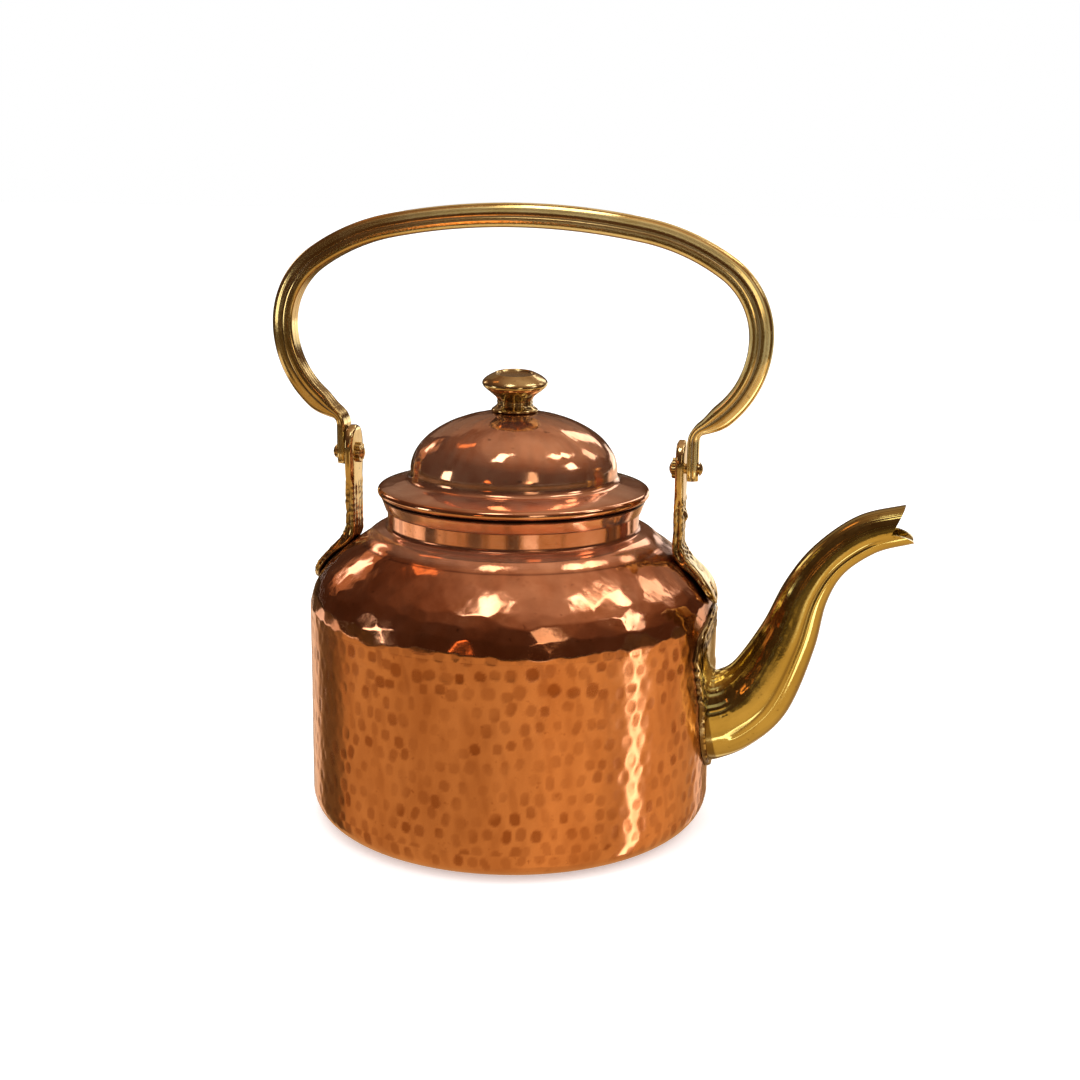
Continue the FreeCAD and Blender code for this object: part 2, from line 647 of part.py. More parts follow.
def make_bail():
    arcs = bail_arcs()
    edges = [arc(*arcs[0])]
    for bend in arcs[1:]:
        edges.append(arc(*bend))
        edges.append(mirrored(arc(*bend)))
    back, radius, first, last = arcs[-1]
    bend_end = polar(back, radius, last)
    heading = Vector(-math.sin(math.radians(BAIL_RETURN_TURN)), 0, -math.cos(math.radians(BAIL_RETURN_TURN)))
    outward = Vector(math.cos(math.radians(BAIL_RETURN_TURN)), 0, -math.sin(math.radians(BAIL_RETURN_TURN)))
    leg_middle_x = (LEG_INNER_X + LEG_OUTER_X) / 2
    strap_end = bend_end + heading * ((leg_middle_x - bend_end.x) / heading.x)
    run_in = line(bend_end, strap_end)
    edges += [run_in, mirrored(run_in)]
    path = Part.Wire(Part.__sortEdges__(edges))
    if path.Edges[0].firstVertex(True).Point.x > 0:
        start, direction = strap_end, outward
    else:
        start = Vector(-strap_end.x, 0, strap_end.z)
        direction = Vector(-outward.x, 0, outward.z)

    def on_section(above, across):
        return start + direction * above + Y_AXIS * across

    section = joined([
        arc_through(
            on_section(BAIL_GROOVE_OFFSET, -BAIL_GROOVE_HALF),
            on_section(BAIL_OUTER_HEIGHT, 0),
            on_section(BAIL_GROOVE_OFFSET, BAIL_GROOVE_HALF),
        ),
        arc_through(
            on_section(BAIL_GROOVE_OFFSET, BAIL_GROOVE_HALF),
            on_section((BAIL_GROOVE_OFFSET - BAIL_INNER_HEIGHT) / 2, BAIL_REED_HALF),
            on_section(-BAIL_INNER_HEIGHT, BAIL_GROOVE_HALF),
        ),
        arc_through(
            on_section(-BAIL_INNER_HEIGHT, -BAIL_GROOVE_HALF),
            on_section((BAIL_GROOVE_OFFSET - BAIL_INNER_HEIGHT) / 2, -BAIL_REED_HALF),
            on_section(BAIL_GROOVE_OFFSET, -BAIL_GROOVE_HALF),
        ),
    ])
    strap = path.makePipeShell([section], True, False)
    half = LEG_WIDTH / 2
    rise = (LEG_THICKNESS / 2) * outward.z / outward.x
    corners = [
        Vector(LEG_INNER_X, -half, PIVOT_Z),
        Vector(LEG_OUTER_X, -half, PIVOT_Z),
        Vector(LEG_OUTER_X, -half, strap_end.z + rise),
        Vector(LEG_INNER_X, -half, strap_end.z - rise),
    ]
    eye = Part.makeCylinder(half, LEG_THICKNESS, at(LEG_INNER_X, PIVOT_Z), X_AXIS)
    leg = prism(polygon(corners), Vector(0, LEG_WIDTH, 0)).fuse(eye)
    leg = leg.cut(pivot_hole(LEG_INNER_X, LEG_THICKNESS))
    return strap.fuse([leg, mirrored(leg)]).removeSplitter()


def make_pivot_rivet():
    inner = EAR_INNER_X - ROSETTE_THICKNESS
    outer = LEG_OUTER_X + LEG_SIDE_GAP
    rivet = turned([
        cap_edge(PIVOT_HEAD_RADIUS, inner, -PIVOT_HEAD_HEIGHT, True),
        line(at(PIVOT_RADIUS, inner), at(PIVOT_RADIUS, outer)),
        cap_edge(PIVOT_HEAD_RADIUS, outer, PIVOT_HEAD_HEIGHT, False),
    ])
    rivet.Placement = Placement(at(0, PIVOT_Z), Rotation(Y_AXIS, 90))
    return rivet


def make_pivot_rosette():
    petal_radius = math.pi * ROSETTE_RADIUS / (ROSETTE_PETALS + math.pi)
    ring_radius = ROSETTE_RADIUS - petal_radius
    start_x = EAR_INNER_X - ROSETTE_THICKNESS
    disc = Part.makeCylinder(ring_radius, ROSETTE_THICKNESS, at(start_x, PIVOT_Z), X_AXIS)
    petals = []
    for petal in range(ROSETTE_PETALS):
        angle = 2 * math.pi * petal / ROSETTE_PETALS
        centre = Vector(start_x, ring_radius * math.cos(angle), PIVOT_Z + ring_radius * math.sin(angle))
        petals.append(Part.makeCylinder(petal_radius, ROSETTE_THICKNESS, centre, X_AXIS))
    return disc.fuse(petals).removeSplitter().cut(pivot_hole(start_x, ROSETTE_THICKNESS))


def make_parts():
    passage = spout_loft(SPOUT_WALL)
    bracket = make_bracket()
    rivets = Part.makeCompound([foot_rivet(turn) for turn in FOOT_RIVET_TURNS])
    holes = [foot_rivet_hole(turn) for turn in FOOT_RIVET_TURNS]
    pivot_rivet = make_pivot_rivet()
    rosette = make_pivot_rosette()
    return {
        "body_cup": make_body_cup(passage),
        "shoulder": make_shoulder(holes + [mirrored(hole) for hole in holes]),
        "neck_rim": make_neck_rim(),
        "lid_shell": make_lid_shell(),
        "lid_rim_wire": make_lid_rim_wire(),
        "lid_skirt": make_lid_skirt(),
        "knob": make_knob(),
        "knob_stud": make_knob_stud(),
        "knob_washer": make_knob_washer(),
        "knob_nut": make_knob_nut(),
        "spout": make_spout(passage),
        "spout_plate": make_spout_plate(passage),
        "front_bracket": bracket,
        "rear_bracket": mirrored(bracket),
        "front_bracket_rivets": rivets,
        "rear_bracket_rivets": mirrored(rivets),
        "front_pivot_rivet": pivot_rivet,
        "rear_pivot_rivet": mirrored(pivot_rivet),
        "front_pivot_rosette": rosette,
        "rear_pivot_rosette": mirrored(rosette),
        "bail": make_bail(),
    }


os.makedirs("parts", exist_ok=True)
for name, shape in make_parts().items():
    shape.exportStep("parts/" + name + ".step")
    box = shape.BoundBox
    print(
        f"{name}: {len(shape.Solids)} solid, valid {shape.isValid()}, {shape.Volume:.0f} mm3,"
        f" x {box.XMin:.1f} to {box.XMax:.1f}, y {box.YMin:.1f} to {box.YMax:.1f},"
        f" z {box.ZMin:.1f} to {box.ZMax:.1f}"
    )
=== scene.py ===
import math
from types import SimpleNamespace

import bpy
import numpy as np
from mathutils import Matrix, Vector


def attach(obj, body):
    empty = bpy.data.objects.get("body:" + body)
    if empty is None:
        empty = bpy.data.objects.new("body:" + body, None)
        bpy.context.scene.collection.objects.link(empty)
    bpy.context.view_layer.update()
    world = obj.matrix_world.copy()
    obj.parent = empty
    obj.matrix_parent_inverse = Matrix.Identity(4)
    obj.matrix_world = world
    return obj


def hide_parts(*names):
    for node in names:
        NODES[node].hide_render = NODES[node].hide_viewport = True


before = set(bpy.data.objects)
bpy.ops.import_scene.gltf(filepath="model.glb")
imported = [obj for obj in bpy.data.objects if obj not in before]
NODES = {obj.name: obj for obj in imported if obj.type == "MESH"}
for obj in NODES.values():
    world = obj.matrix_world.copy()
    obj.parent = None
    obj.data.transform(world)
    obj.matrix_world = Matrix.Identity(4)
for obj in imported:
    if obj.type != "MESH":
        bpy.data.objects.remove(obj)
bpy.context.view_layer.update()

# Sizes are in millimetres, as in the part's own source; the meshes are made in metres
MM = 0.001
SHARP_ANGLE = math.radians(50)
SAME_POINT = 1e-4

# Wall, shoulder and neck
BODY_RADIUS = 75.0
BODY_LENGTH = 2 * math.pi * BODY_RADIUS
BODY_COLUMNS = 660
WALL_ROWS = 98
SHEET = 1.2
BASE_FILLET = 10.0
WALL_TOP = 78.0
EDGE_CENTRE = np.array([53.0, WALL_TOP])
EDGE_RADIUS = 22.0
EDGE_TURN = 45.0
CROWN_RADIUS = 77.5
CROWN_CENTRE = EDGE_CENTRE - (CROWN_RADIUS - EDGE_RADIUS) * math.sqrt(0.5)
NECK_RADIUS = 46.4
NECK_FILLET = 1.6
NECK_BORE = NECK_RADIUS - SHEET
FILLET_CENTRE = np.array([
    NECK_RADIUS + NECK_FILLET,
    CROWN_CENTRE[1] + math.sqrt(
        (CROWN_RADIUS + NECK_FILLET) ** 2 - (NECK_RADIUS + NECK_FILLET - CROWN_CENTRE[0]) ** 2
    ),
])
CROWN_END = math.degrees(math.atan2(*(FILLET_CENTRE - CROWN_CENTRE)[::-1]))
NECK_TOP = FILLET_CENTRE[1] + 5.2
RIM_TOP = NECK_TOP + 4.9
RIM_COLUMNS = 320
RIM_LEDGE = 0.8
RIM_FLARE = 1.5

# Lid
LID_RADIUS = 50.0
LID_SHEET = 0.9
LID_COLUMNS = 480
BEAD_RADIUS = 1.6
BEAD_CENTRE = np.array([LID_RADIUS - BEAD_RADIUS, RIM_TOP + 0.3 + BEAD_RADIUS])
FLANGE_SLOPE = 16.0
FLANGE_EDGE = 46.8
DOME_RADIUS = 38.0
DOME_FILLET = 3.0
DOME_RISE = 21.5

# Bail
PIVOT_Z = 133.0
LEG_MIDDLE_X = 65.8
LEG_HALF_WIDTH = 4.8
LEG_HALF_DEPTH = 2.0
BAIL_TOP = 221.1
BAIL_HALF_SPAN = 88.2
BAIL_CROWN_RADIUS = 245.0
BAIL_SIDE_RADIUS = 75.0
BAIL_CORNER_RADIUS = 29.8
BAIL_BACK_RADIUS = 36.3
BAIL_CORNER_TURN = 35.0
BAIL_STRAP_TURN = 62.0
BAIL_BEND = 3.2
BAIL_COLUMNS = 168
REED_HALF_WIDTH = 3.1

# View
VIEW_TURN = math.radians(12.5)
VIEW_ROLL = math.radians(0.86)
VIEW_DISTANCE = 556.1
VIEW_HEIGHT = 231.9
AIM_SIDE = 9.93
AIM_HEIGHT = 102.9
LENS = 51.2
SENSOR = 36.0


def smooth(share):
    """A soft step from 0 to 1."""
    share = np.clip(share, 0.0, 1.0)
    return share * share * (3 - 2 * share)


def step(value, start, span):
    """A soft step that starts at a value and takes a span; with a negative span it rises downwards."""
    return smooth((value - start) / span)


def bell(value, middle, width):
    """1 at the middle, with soft sides."""
    return np.exp(-((value - middle) / width) ** 2)


def gentle(wave, limit=1.5):
    return np.clip(wave, -limit, limit)


def arc_rows(centre, radius, first, last, count):
    """Points (radius, height) on an arc between two angles in degrees."""
    angle = np.radians(np.linspace(first, last, count))
    return np.stack([centre[0] + radius * np.cos(angle), centre[1] + radius * np.sin(angle)], -1)


def line_rows(start, end, count):
    share = np.linspace(0, 1, count)[:, None]
    return np.array(start, float) * (1 - share) + np.array(end, float) * share


def chain(**runs):
    """One profile from named runs of points, without the doubled ends, and the run of each row."""
    rows, names = [], []
    for name, run in runs.items():
        for point in run:
            if rows and np.hypot(*(point - rows[-1])) < SAME_POINT:
                continue
            rows.append(point)
            names.append(name)
    return np.array(rows), np.array(names)


def rows_of(runs, *names):
    """Numbers of the rows that belong to the named runs."""
    return np.nonzero(np.isin(runs, names))[0]


def lengths(rows):
    """How far along a line of points each of them lies."""
    return np.concatenate([[0], np.cumsum(np.hypot(*np.diff(rows, axis=0).T))])


def ring_angles(columns):
    return 2 * np.pi * np.arange(columns) / columns


def ring_lengths(columns):
    """Places of the columns round a ring, as lengths round the body."""
    return BODY_RADIUS * ring_angles(columns)


def revolve(profile, columns):
    """Rows and columns of points of a turned skin."""
    angle = ring_angles(columns)
    radius = profile[:, :1]
    height = profile[:, 1:] + 0 * angle
    return np.stack([radius * np.cos(angle), radius * np.sin(angle), height], -1)


def profile_normals(profile, columns):
    """Outward normals of a turned skin whose profile runs up its outside."""
    tangent = np.gradient(profile, axis=0)
    tangent /= np.maximum(np.hypot(tangent[:, 0], tangent[:, 1]), 1e-9)[:, None]
    angle = ring_angles(columns)
    outward = tangent[:, 1:]
    upward = -tangent[:, :1] + 0 * angle
    return np.stack([outward * np.cos(angle), outward * np.sin(angle), upward], -1)


def grid_quads(rows, columns, ring):
    """Corner numbers of the quads of a grid that closes round its columns, and their rows."""
    row, column = np.meshgrid(np.arange(rows if ring else rows - 1), np.arange(columns), indexing="ij")
    here, below = row * columns, (row + 1) % rows * columns
    right = (column + 1) % columns
    corners = [here + column, here + right, below + right, below + column]
    return np.stack(corners, -1).reshape(-1, 4), row.reshape(-1)


def merge_poles(points):
    """Numbers that send every point of a row on the axis to the row's first point."""
    rows, columns = points.shape[:2]
    keeper = np.arange(rows * columns).reshape(rows, columns)
    spread = np.abs(points - points[:, :1]).max(axis=(1, 2))
    for row in np.nonzero(spread < 1e-6)[0]:
        keeper[row] = keeper[row, 0]
    return keeper.reshape(-1)


def add_piece(name, points, faces, body, nodes, materials, kinds, values):
    """A smooth mesh piece that stands for CAD nodes and rides on a body."""
    used = np.unique(np.concatenate([np.array(face) for face in faces]))
    number = np.zeros(len(points), int)
    number[used] = np.arange(len(used))
    mesh = bpy.data.meshes.new(name)
    mesh.from_pydata((points[used] * MM).tolist(), [], [[int(number[c]) for c in face] for face in faces])
    for key, numbers in values.items():
        layer = mesh.attributes.new(key, "FLOAT", "POINT")
        layer.data.foreach_set("value", np.ascontiguousarray(numbers.reshape(-1)[used], np.float32))
    for kind in materials:
        mesh.materials.append(MATERIALS[kind])
    if kinds is not None:
        mesh.polygons.foreach_set("material_index", np.ascontiguousarray(kinds, np.int32))
    mesh.polygons.foreach_set("use_smooth", np.ones(len(faces), bool))
    mesh.update()
    mesh.set_sharp_from_angle(angle=SHARP_ANGLE)
    piece = bpy.data.objects.new(name, mesh)
    bpy.context.scene.collection.objects.link(piece)
    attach(piece, body)
    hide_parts(*nodes)
    return piece


def add_grid(name, points, body, nodes, materials, values, runs=None, ring=False, drop=None, extra=()):
    """A piece from rows and columns of points; the columns close, and the rows do if ring is true.

    Rows of runs whose names start with inner take the second material.
    """
    rows, columns = points.shape[:2]
    quads, face_row = grid_quads(rows, columns, ring)
    if drop is not None:
        quads, face_row = quads[~drop], face_row[~drop]
    faces = [list(dict.fromkeys(quad)) for quad in merge_poles(points)[quads].tolist()]
    kinds = None
    if runs is not None:
        lined = np.char.startswith(runs, "inner").astype(int)
        kinds = np.concatenate([lined[face_row], np.zeros(len(extra), int)])
    faces += [list(face) for face in extra]
    return add_piece(name, points.reshape(-1, 3), faces, body, nodes, materials, kinds, values)


class Shader:
    """A node material with a few short calls for the nodes that the metals use."""

    def __init__(self, name):
        self.material = bpy.data.materials.new(name)
        self.material.use_nodes = True
        self.tree = self.material.node_tree
        self.surface = self.tree.nodes["Principled BSDF"]
        self.place = self.tree.nodes.new("ShaderNodeTexCoord").outputs["Object"]

    def link(self, source, target):
        self.tree.links.new(source, target)

    def noise(self, scale, detail=4.0, stretch=(1, 1, 1)):
        """Values round 0.5 from noise with the given number of waves in a metre."""
        mapping = self.tree.nodes.new("ShaderNodeMapping")
        mapping.inputs["Scale"].default_value = stretch
        self.link(self.place, mapping.inputs["Vector"])
        node = self.tree.nodes.new("ShaderNodeTexNoise")
        node.inputs["Scale"].default_value = scale
        node.inputs["Detail"].default_value = detail
        node.inputs["Roughness"].default_value = 0.55
        self.link(mapping.outputs["Vector"], node.inputs["Vector"])
        return node.outputs["Fac"]

    def ramp(self, source, low, high, start=0.0, end=1.0):
        """The source's values from low to high, laid out between start and end."""
        node = self.tree.nodes.new("ShaderNodeMapRange")
        node.interpolation_type = "SMOOTHSTEP"
        for key, number in (("From Min", low), ("From Max", high), ("To Min", start), ("To Max", end)):
            node.inputs[key].default_value = number
        self.link(source, node.inputs["Value"])
        return node.outputs["Result"]

    def math(self, operation, first, second):
        node = self.tree.nodes.new("ShaderNodeMath")
        node.operation = operation
        self.link(first, node.inputs[0])
        if isinstance(second, (int, float)):
            node.inputs[1].default_value = second
        else:
            self.link(second, node.inputs[1])
        return node.outputs["Value"]

    def mix(self, share, first, second):
        """A colour between two; each is a colour or another node's output."""
        node = self.tree.nodes.new("ShaderNodeMix")
        node.data_type = "RGBA"
        self.link(share, node.inputs["Factor"])
        for source, target in ((first, node.inputs[6]), (second, node.inputs[7])):
            if isinstance(source, tuple):
                target.default_value = source + (1.0,)
            else:
                self.link(source, target)
        return node.outputs[2]

    def value(self, name):
        """A value that the mesh carries at its points."""
        node = self.tree.nodes.new("ShaderNodeAttribute")
        node.attribute_name = name
        return node.outputs["Fac"]

    def bump(self, height, strength, distance):
        node = self.tree.nodes.new("ShaderNodeBump")
        node.inputs["Strength"].default_value = strength
        node.inputs["Distance"].default_value = distance
        self.link(height, node.inputs["Height"])
        self.link(node.outputs["Normal"], self.surface.inputs["Normal"])


def metal(name, bright, deep, stain_and_shade, roughness, cloud, patina_and_shade=True, lines=(1, 1, 1), tint=None,
          drawn=(1, 1, 1), dull=0.0):
    """A worn polished metal: cloudy colour, painted shade and patina that darken it where the mesh says, and
    fine marks of the polishing.
    """
    shader = Shader(name)
    surface = shader.surface
    surface.inputs["Metallic"].default_value = 1.0
    if dull:
        loss = shader.math("MULTIPLY", shader.value("worn"), -dull)
        shader.link(shader.math("ADD", loss, 1.0), surface.inputs["Metallic"])
    clouds = shader.ramp(shader.noise(cloud, 5.0, drawn), 0.35, 0.68)
    colour = shader.mix(clouds, bright, deep)
    if tint:
        colour = shader.mix(shader.value("tint"), colour, tint)
    specks = shader.ramp(shader.noise(cloud * 7, 3.0), 0.62, 0.8, 0.0, 0.55)
    colour = shader.mix(specks, colour, stain_and_shade)
    gloss = shader.ramp(shader.noise(cloud * 2.3, 4.0), 0.3, 0.7, roughness, roughness + 0.08)
    # Painted shade and patina: the mesh's value darkens the colour towards the dark tone and roughens it.
    if patina_and_shade:
        depth = shader.value("patina_and_shade")
        colour = shader.mix(depth, colour, stain_and_shade)
        gloss = shader.math("ADD", gloss, shader.math("MULTIPLY", depth, 0.12))
    shader.link(colour, surface.inputs["Base Color"])
    shader.link(gloss, surface.inputs["Roughness"])
    shader.bump(shader.noise(900.0, 3.0, lines), 0.25, 0.00006)
    return shader.material


MATERIALS = {
    "wall": metal("hammered_copper_wall", (0.86, 0.41, 0.2), (0.68, 0.295, 0.13), (0.4, 0.13, 0.038),
                  0.12, 60.0, lines=(0.12, 0.12, 1.6), drawn=(1, 1, 0.35)),
    "shoulder": metal("planished_copper", (0.8, 0.39, 0.22), (0.66, 0.28, 0.14), (0.2, 0.06, 0.025),
                      0.06, 70.0, tint=(0.78, 0.36, 0.17), dull=0.2),
    "lid": metal("polished_copper_sheet", (0.86, 0.47, 0.29), (0.74, 0.36, 0.2), (0.09, 0.03, 0.013),
                 0.055, 60.0, dull=0.12),
    "tin": metal("worn_tin_lining", (0.5, 0.48, 0.45), (0.38, 0.36, 0.33), (0.26, 0.17, 0.11),
                 0.34, 40.0, patina_and_shade=False),
    "spout": metal("polished_brass_spout", (0.7, 0.59, 0.2), (0.6, 0.49, 0.15), (0.16, 0.085, 0.02),
                   0.06, 55.0, dull=0.6),
    "cast": metal("cast_brass_worn", (0.82, 0.66, 0.33), (0.66, 0.49, 0.2), (0.09, 0.04, 0.012), 0.1, 90.0),
    "reeded": metal("reeded_brass", (0.95, 0.75, 0.32), (0.8, 0.58, 0.2), (0.1, 0.045, 0.012),
                    0.08, 70.0, dull=0.3),
    "plain_brass": metal("brass_fittings", (0.7, 0.55, 0.26), (0.56, 0.41, 0.17), (0.16, 0.08, 0.024),
                         0.18, 120.0, patina_and_shade=False),
    "steel": metal("plain_steel_wire", (0.5, 0.49, 0.48), (0.4, 0.39, 0.38), (0.2, 0.15, 0.12),
                   0.35, 90.0, patina_and_shade=False),
}


# Swells of the metal: number of waves, shortest and longest length, seed
SWELLS = {
    "wall": (14, 9, 40, 5),
    "wall_broad": (8, 40, 120, 6),
    "wall_patch": (9, 22, 80, 8),
    "wall_crinkle": (16, 3.5, 9, 9),
    "wall_smear": (14, 4, 13, 10),
    "shoulder_crinkle": (16, 3.5, 10, 71),
    "shoulder_mottle": (10, 10, 50, 17),
    "neck_bands": (14, 9, 60, 19),
    "rim": (10, 14, 60, 23),
    "dome": (12, 16, 60, 31),
    "dome_beaten": (16, 6, 17, 33),
    "dome_mottle": (10, 10, 40, 39),
    "flange": (10, 16, 60, 37),
    "spout": (7, 22, 70, 43),
    "spout_dents": (14, 5, 11, 47),
    "plate": (12, 7, 16, 57),
    "bracket": (9, 9, 24, 61),
    "bracket_blotch": (10, 6, 20, 67),
}


def waves(first, second, kind, shift=0):
    """A gentle random swell over two lengths in millimetres, of about unit height."""
    count, short, tall, seed = SWELLS[kind]
    draw = np.random.default_rng(seed + shift)
    total = np.zeros(np.broadcast(first, second).shape)
    most = max(2, int(BODY_LENGTH / short))
    for _ in range(count):
        turns = draw.integers(1, most) * draw.choice([-1, 1])
        swell = turns * first / BODY_LENGTH + second / draw.uniform(short, tall)
        total += np.cos(2 * np.pi * swell + draw.uniform(0, 2 * np.pi))
    return total / math.sqrt(count)


# Hammer marks of the wall
MARK_SEED = 41
MARK_START = 4.5
MARK_ROW = 6.3
MARK_STEP = 5.7
MARK_HALF_WIDTH = 1.95
MARK_HALF_HEIGHT = 2.6
MARK_POWER = 2.7
MARK_DEPTH = 0.12
MARK_JITTER = 0.75
MARK_TILT = 0.25
MARK_WANDER = 1.2
MARK_REACH_ROUND = 4.0
MARK_REACH_UP = 4.5
TOP_MARKS_Z = 66.0
TOP_MARKS_WIDER = 1.2
# How far the wall's skin lies inside its cylinder, and the heights of its swells
WALL_SINK = 0.08
WALL_SWELL = 0.02
WALL_BROAD_SWELL = 0.04
WALL_CRINKLE = 0.012
LEAST_SINK = 0.005


def mark_shape(along, up, half_width, half_height, tilt):
    """1 in the middle of a hammer mark, 0 from its rounded edge on."""
    du, dv = np.meshgrid((along + BODY_LENGTH / 2) % BODY_LENGTH - BODY_LENGTH / 2, up)
    side = du * math.cos(tilt) + dv * math.sin(tilt)
    rise = dv * math.cos(tilt) - du * math.sin(tilt)
    edge = np.abs(side / half_width) ** MARK_POWER + np.abs(rise / half_height) ** MARK_POWER
    return np.clip(1 - edge, 0, 1)


def hammer_marks(around, height):
    """Depth of the wall's hammer marks, and the painted shade that stands in for their reflections, over a
    grid of lengths round and up the wall.
    """
    draw = np.random.default_rng(MARK_SEED)
    columns = len(around)
    depth = np.zeros((len(height), columns))
    dark = np.zeros_like(depth)
    per_row = int(BODY_LENGTH / MARK_STEP)
    reach = int(MARK_REACH_ROUND / (BODY_LENGTH / columns)) + 1
    for line in range(-1, int(WALL_TOP / MARK_ROW) + 2):
        for place in range(per_row):
            u = (place + 0.5 * (line % 2)) * BODY_LENGTH / per_row + draw.normal(0, MARK_JITTER)
            v = MARK_START + line * MARK_ROW + draw.normal(0, MARK_JITTER)
            v += MARK_WANDER * math.sin(place * 0.5)
            wider = TOP_MARKS_WIDER if v > TOP_MARKS_Z else 1.0
            half_width = MARK_HALF_WIDTH * draw.uniform(0.8, 1.2) * wider
            half_height = MARK_HALF_HEIGHT * draw.uniform(0.75, 1.2)
            force = 0.3 + 0.7 * draw.beta(1.7, 1.8)
            tilt = draw.normal(0, MARK_TILT)
            near = (int(round(u / BODY_LENGTH * columns)) + np.arange(-reach, reach + 1)) % columns
            rows = np.nonzero(np.abs(height - v) < MARK_REACH_UP)[0]
            if not len(rows):
                continue
            inside = mark_shape(around[near] - u, height[rows] - v, half_width, half_height, tilt)
            window = np.ix_(rows, near)
            depth[window] = np.maximum(depth[window], MARK_DEPTH * force * inside ** 1.15)
            # Painted shade in each mark stands in for the reflection of its dent.
            dark[window] = np.maximum(dark[window], force * smooth(inside * 1.5))
    return depth, dark


def wall_skin(around, height):
    """How far the hammered wall lies inside its cylinder, and the painted shade of its marks and of upright
    reflection streaks.
    """
    depth, dark = hammer_marks(around, height)
    u, v = around[None, :], height[:, None]
    sink = depth + WALL_SINK + WALL_SWELL * waves(u, v, "wall") + WALL_CRINKLE * waves(u, v, "wall_crinkle")
    sink = sink + WALL_BROAD_SWELL * gentle(waves(u, v, "wall_broad"))
    patch = smooth(waves(u, v, "wall_patch") * 0.45 + 0.5)
    # Marks low and high on the wall take more painted shade.
    low, high = step(v, 28.0, -8.0), step(v, 60.0, 8.0)
    dark = dark * np.clip(0.3 + 0.65 * patch + 0.3 * low + 0.6 * high, 0, 1)
    # Painted upright reflection streaks.
    smear = smooth(waves(u, 0.3 * v, "wall_smear") * 0.6 - 0.05)
    return np.maximum(sink, LEAST_SINK), np.maximum(dark, (0.3 + 0.25 * high) * smear)


# The spout's passage through the wall
PASSAGE_Z = 41.3
PASSAGE_HALF_WIDTH = 12.75
PASSAGE_HALF_HEIGHT = 15.2
SPOUT_SQUARENESS = 2.3


def passage_reach(around, height):
    """1 on the passage's edge, less inside it."""
    power = SPOUT_SQUARENESS
    across = np.abs(around / PASSAGE_HALF_WIDTH) ** power
    return (across + np.abs((height - PASSAGE_Z) / PASSAGE_HALF_HEIGHT) ** power) ** (1 / power)


def body_profile():
    foot, inner = BODY_RADIUS - BASE_FILLET, BODY_RADIUS - SHEET
    foot_centre = (foot, BASE_FILLET)
    return chain(
        base=line_rows((0, 0), (foot, 0), 10),
        foot=arc_rows(foot_centre, BASE_FILLET, -90, 0, 22),
        wall=line_rows((BODY_RADIUS, BASE_FILLET), (BODY_RADIUS, WALL_TOP), WALL_ROWS),
        lip=np.array([[BODY_RADIUS - 1.0, WALL_TOP]]),
        inner_wall=line_rows((inner, WALL_TOP - 0.25), (inner, BASE_FILLET), WALL_ROWS),
        inner_foot=arc_rows(foot_centre, BASE_FILLET - SHEET, 0, -90, 12),
        inner_base=line_rows((foot, SHEET), (0, SHEET), 8),
    )


def make_body():
    profile, runs = body_profile()
    points = revolve(profile, BODY_COLUMNS)
    normals = profile_normals(profile, BODY_COLUMNS)
    around = ring_lengths(BODY_COLUMNS)
    wall = rows_of(runs, "wall")
    normals[wall] = normals[wall[1]]
    outer = rows_of(runs, "foot", "wall")
    height = profile[outer, 1]
    climb = np.where(runs[outer] == "foot", height * 0.9 - 2.0, height)
    fade = step(height, 1.0, 6.0)[:, None]
    sink, dark = wall_skin(around, climb)
    points[outer] -= normals[outer] * np.maximum(fade * sink, LEAST_SINK)[..., None]
    patina_and_shade = np.zeros(points.shape[:2])
    # Painted shade of the hammer marks, and a band of painted shade at the foot where the wall meets the
    # floor.
    patina_and_shade[outer] = np.maximum(fade * dark, 0.9 * step(height, 2.2, -1.6)[:, None])
    drop, extra = cut_passage(points, runs, around)
    add_grid("kettle_body", points, "pot", ["body_cup"], ("wall", "tin"),
             {"patina_and_shade": patina_and_shade}, runs=runs, drop=drop, extra=extra)


def cut_passage(points, runs, around):
    """Which quads the passage takes away, and the quads of its edge, whose points are set on its oval."""
    rows, columns = points.shape[:2]
    wall = rows_of(runs, "wall")
    outer = np.append(wall[0] - 1, wall)
    inner = rows_of(runs, "inner_wall")[::-1]
    signed = (around + BODY_LENGTH / 2) % BODY_LENGTH - BODY_LENGTH / 2
    heights = points[outer, 0, 2]
    middle = (heights[:-1] + heights[1:]) / 2
    taken = passage_reach((signed + BODY_LENGTH / columns / 2)[None, :], middle[:, None]) < 1
    gone = np.zeros((rows, columns), bool)
    gone[outer[:-1]] = taken
    gone[inner[1:]] = taken
    extra, moved = passage_edge(taken, outer, inner, columns)
    for row, column in moved:
        u, v = signed[column], heights[row] - PASSAGE_Z
        share = passage_reach(u, heights[row])
        angle = u / share / BODY_RADIUS
        for line in (outer[row], inner[row]):
            radius = math.hypot(points[line, column, 0], points[line, column, 1])
            x, y = radius * math.cos(angle), radius * math.sin(angle)
            points[line, column] = (x, y, PASSAGE_Z + v / share)
    return gone[:rows - 1].reshape(-1), extra


def passage_edge(taken, outer, inner, columns):
    """The quads between the outer and the inner skin round the passage, and the corners on its edge."""
    extra, moved = [], set()
    full = np.pad(taken, ((1, 1), (0, 0)))
    for row, column in zip(*np.nonzero(taken)):
        right = (column + 1) % columns
        corners = ((row, column), (row, right), (row + 1, right), (row + 1, column))
        beside = (full[row, column], full[row + 1, right], full[row + 2, column], full[row + 1, column - 1])
        for side, other in enumerate(beside):
            if other:
                continue
            first, second = corners[side], corners[(side + 1) % 4]
            moved.update((first, second))
            extra.append((
                outer[first[0]] * columns + first[1], outer[second[0]] * columns + second[1],
                inner[second[0]] * columns + second[1], inner[first[0]] * columns + first[1],
            ))
    return extra, moved


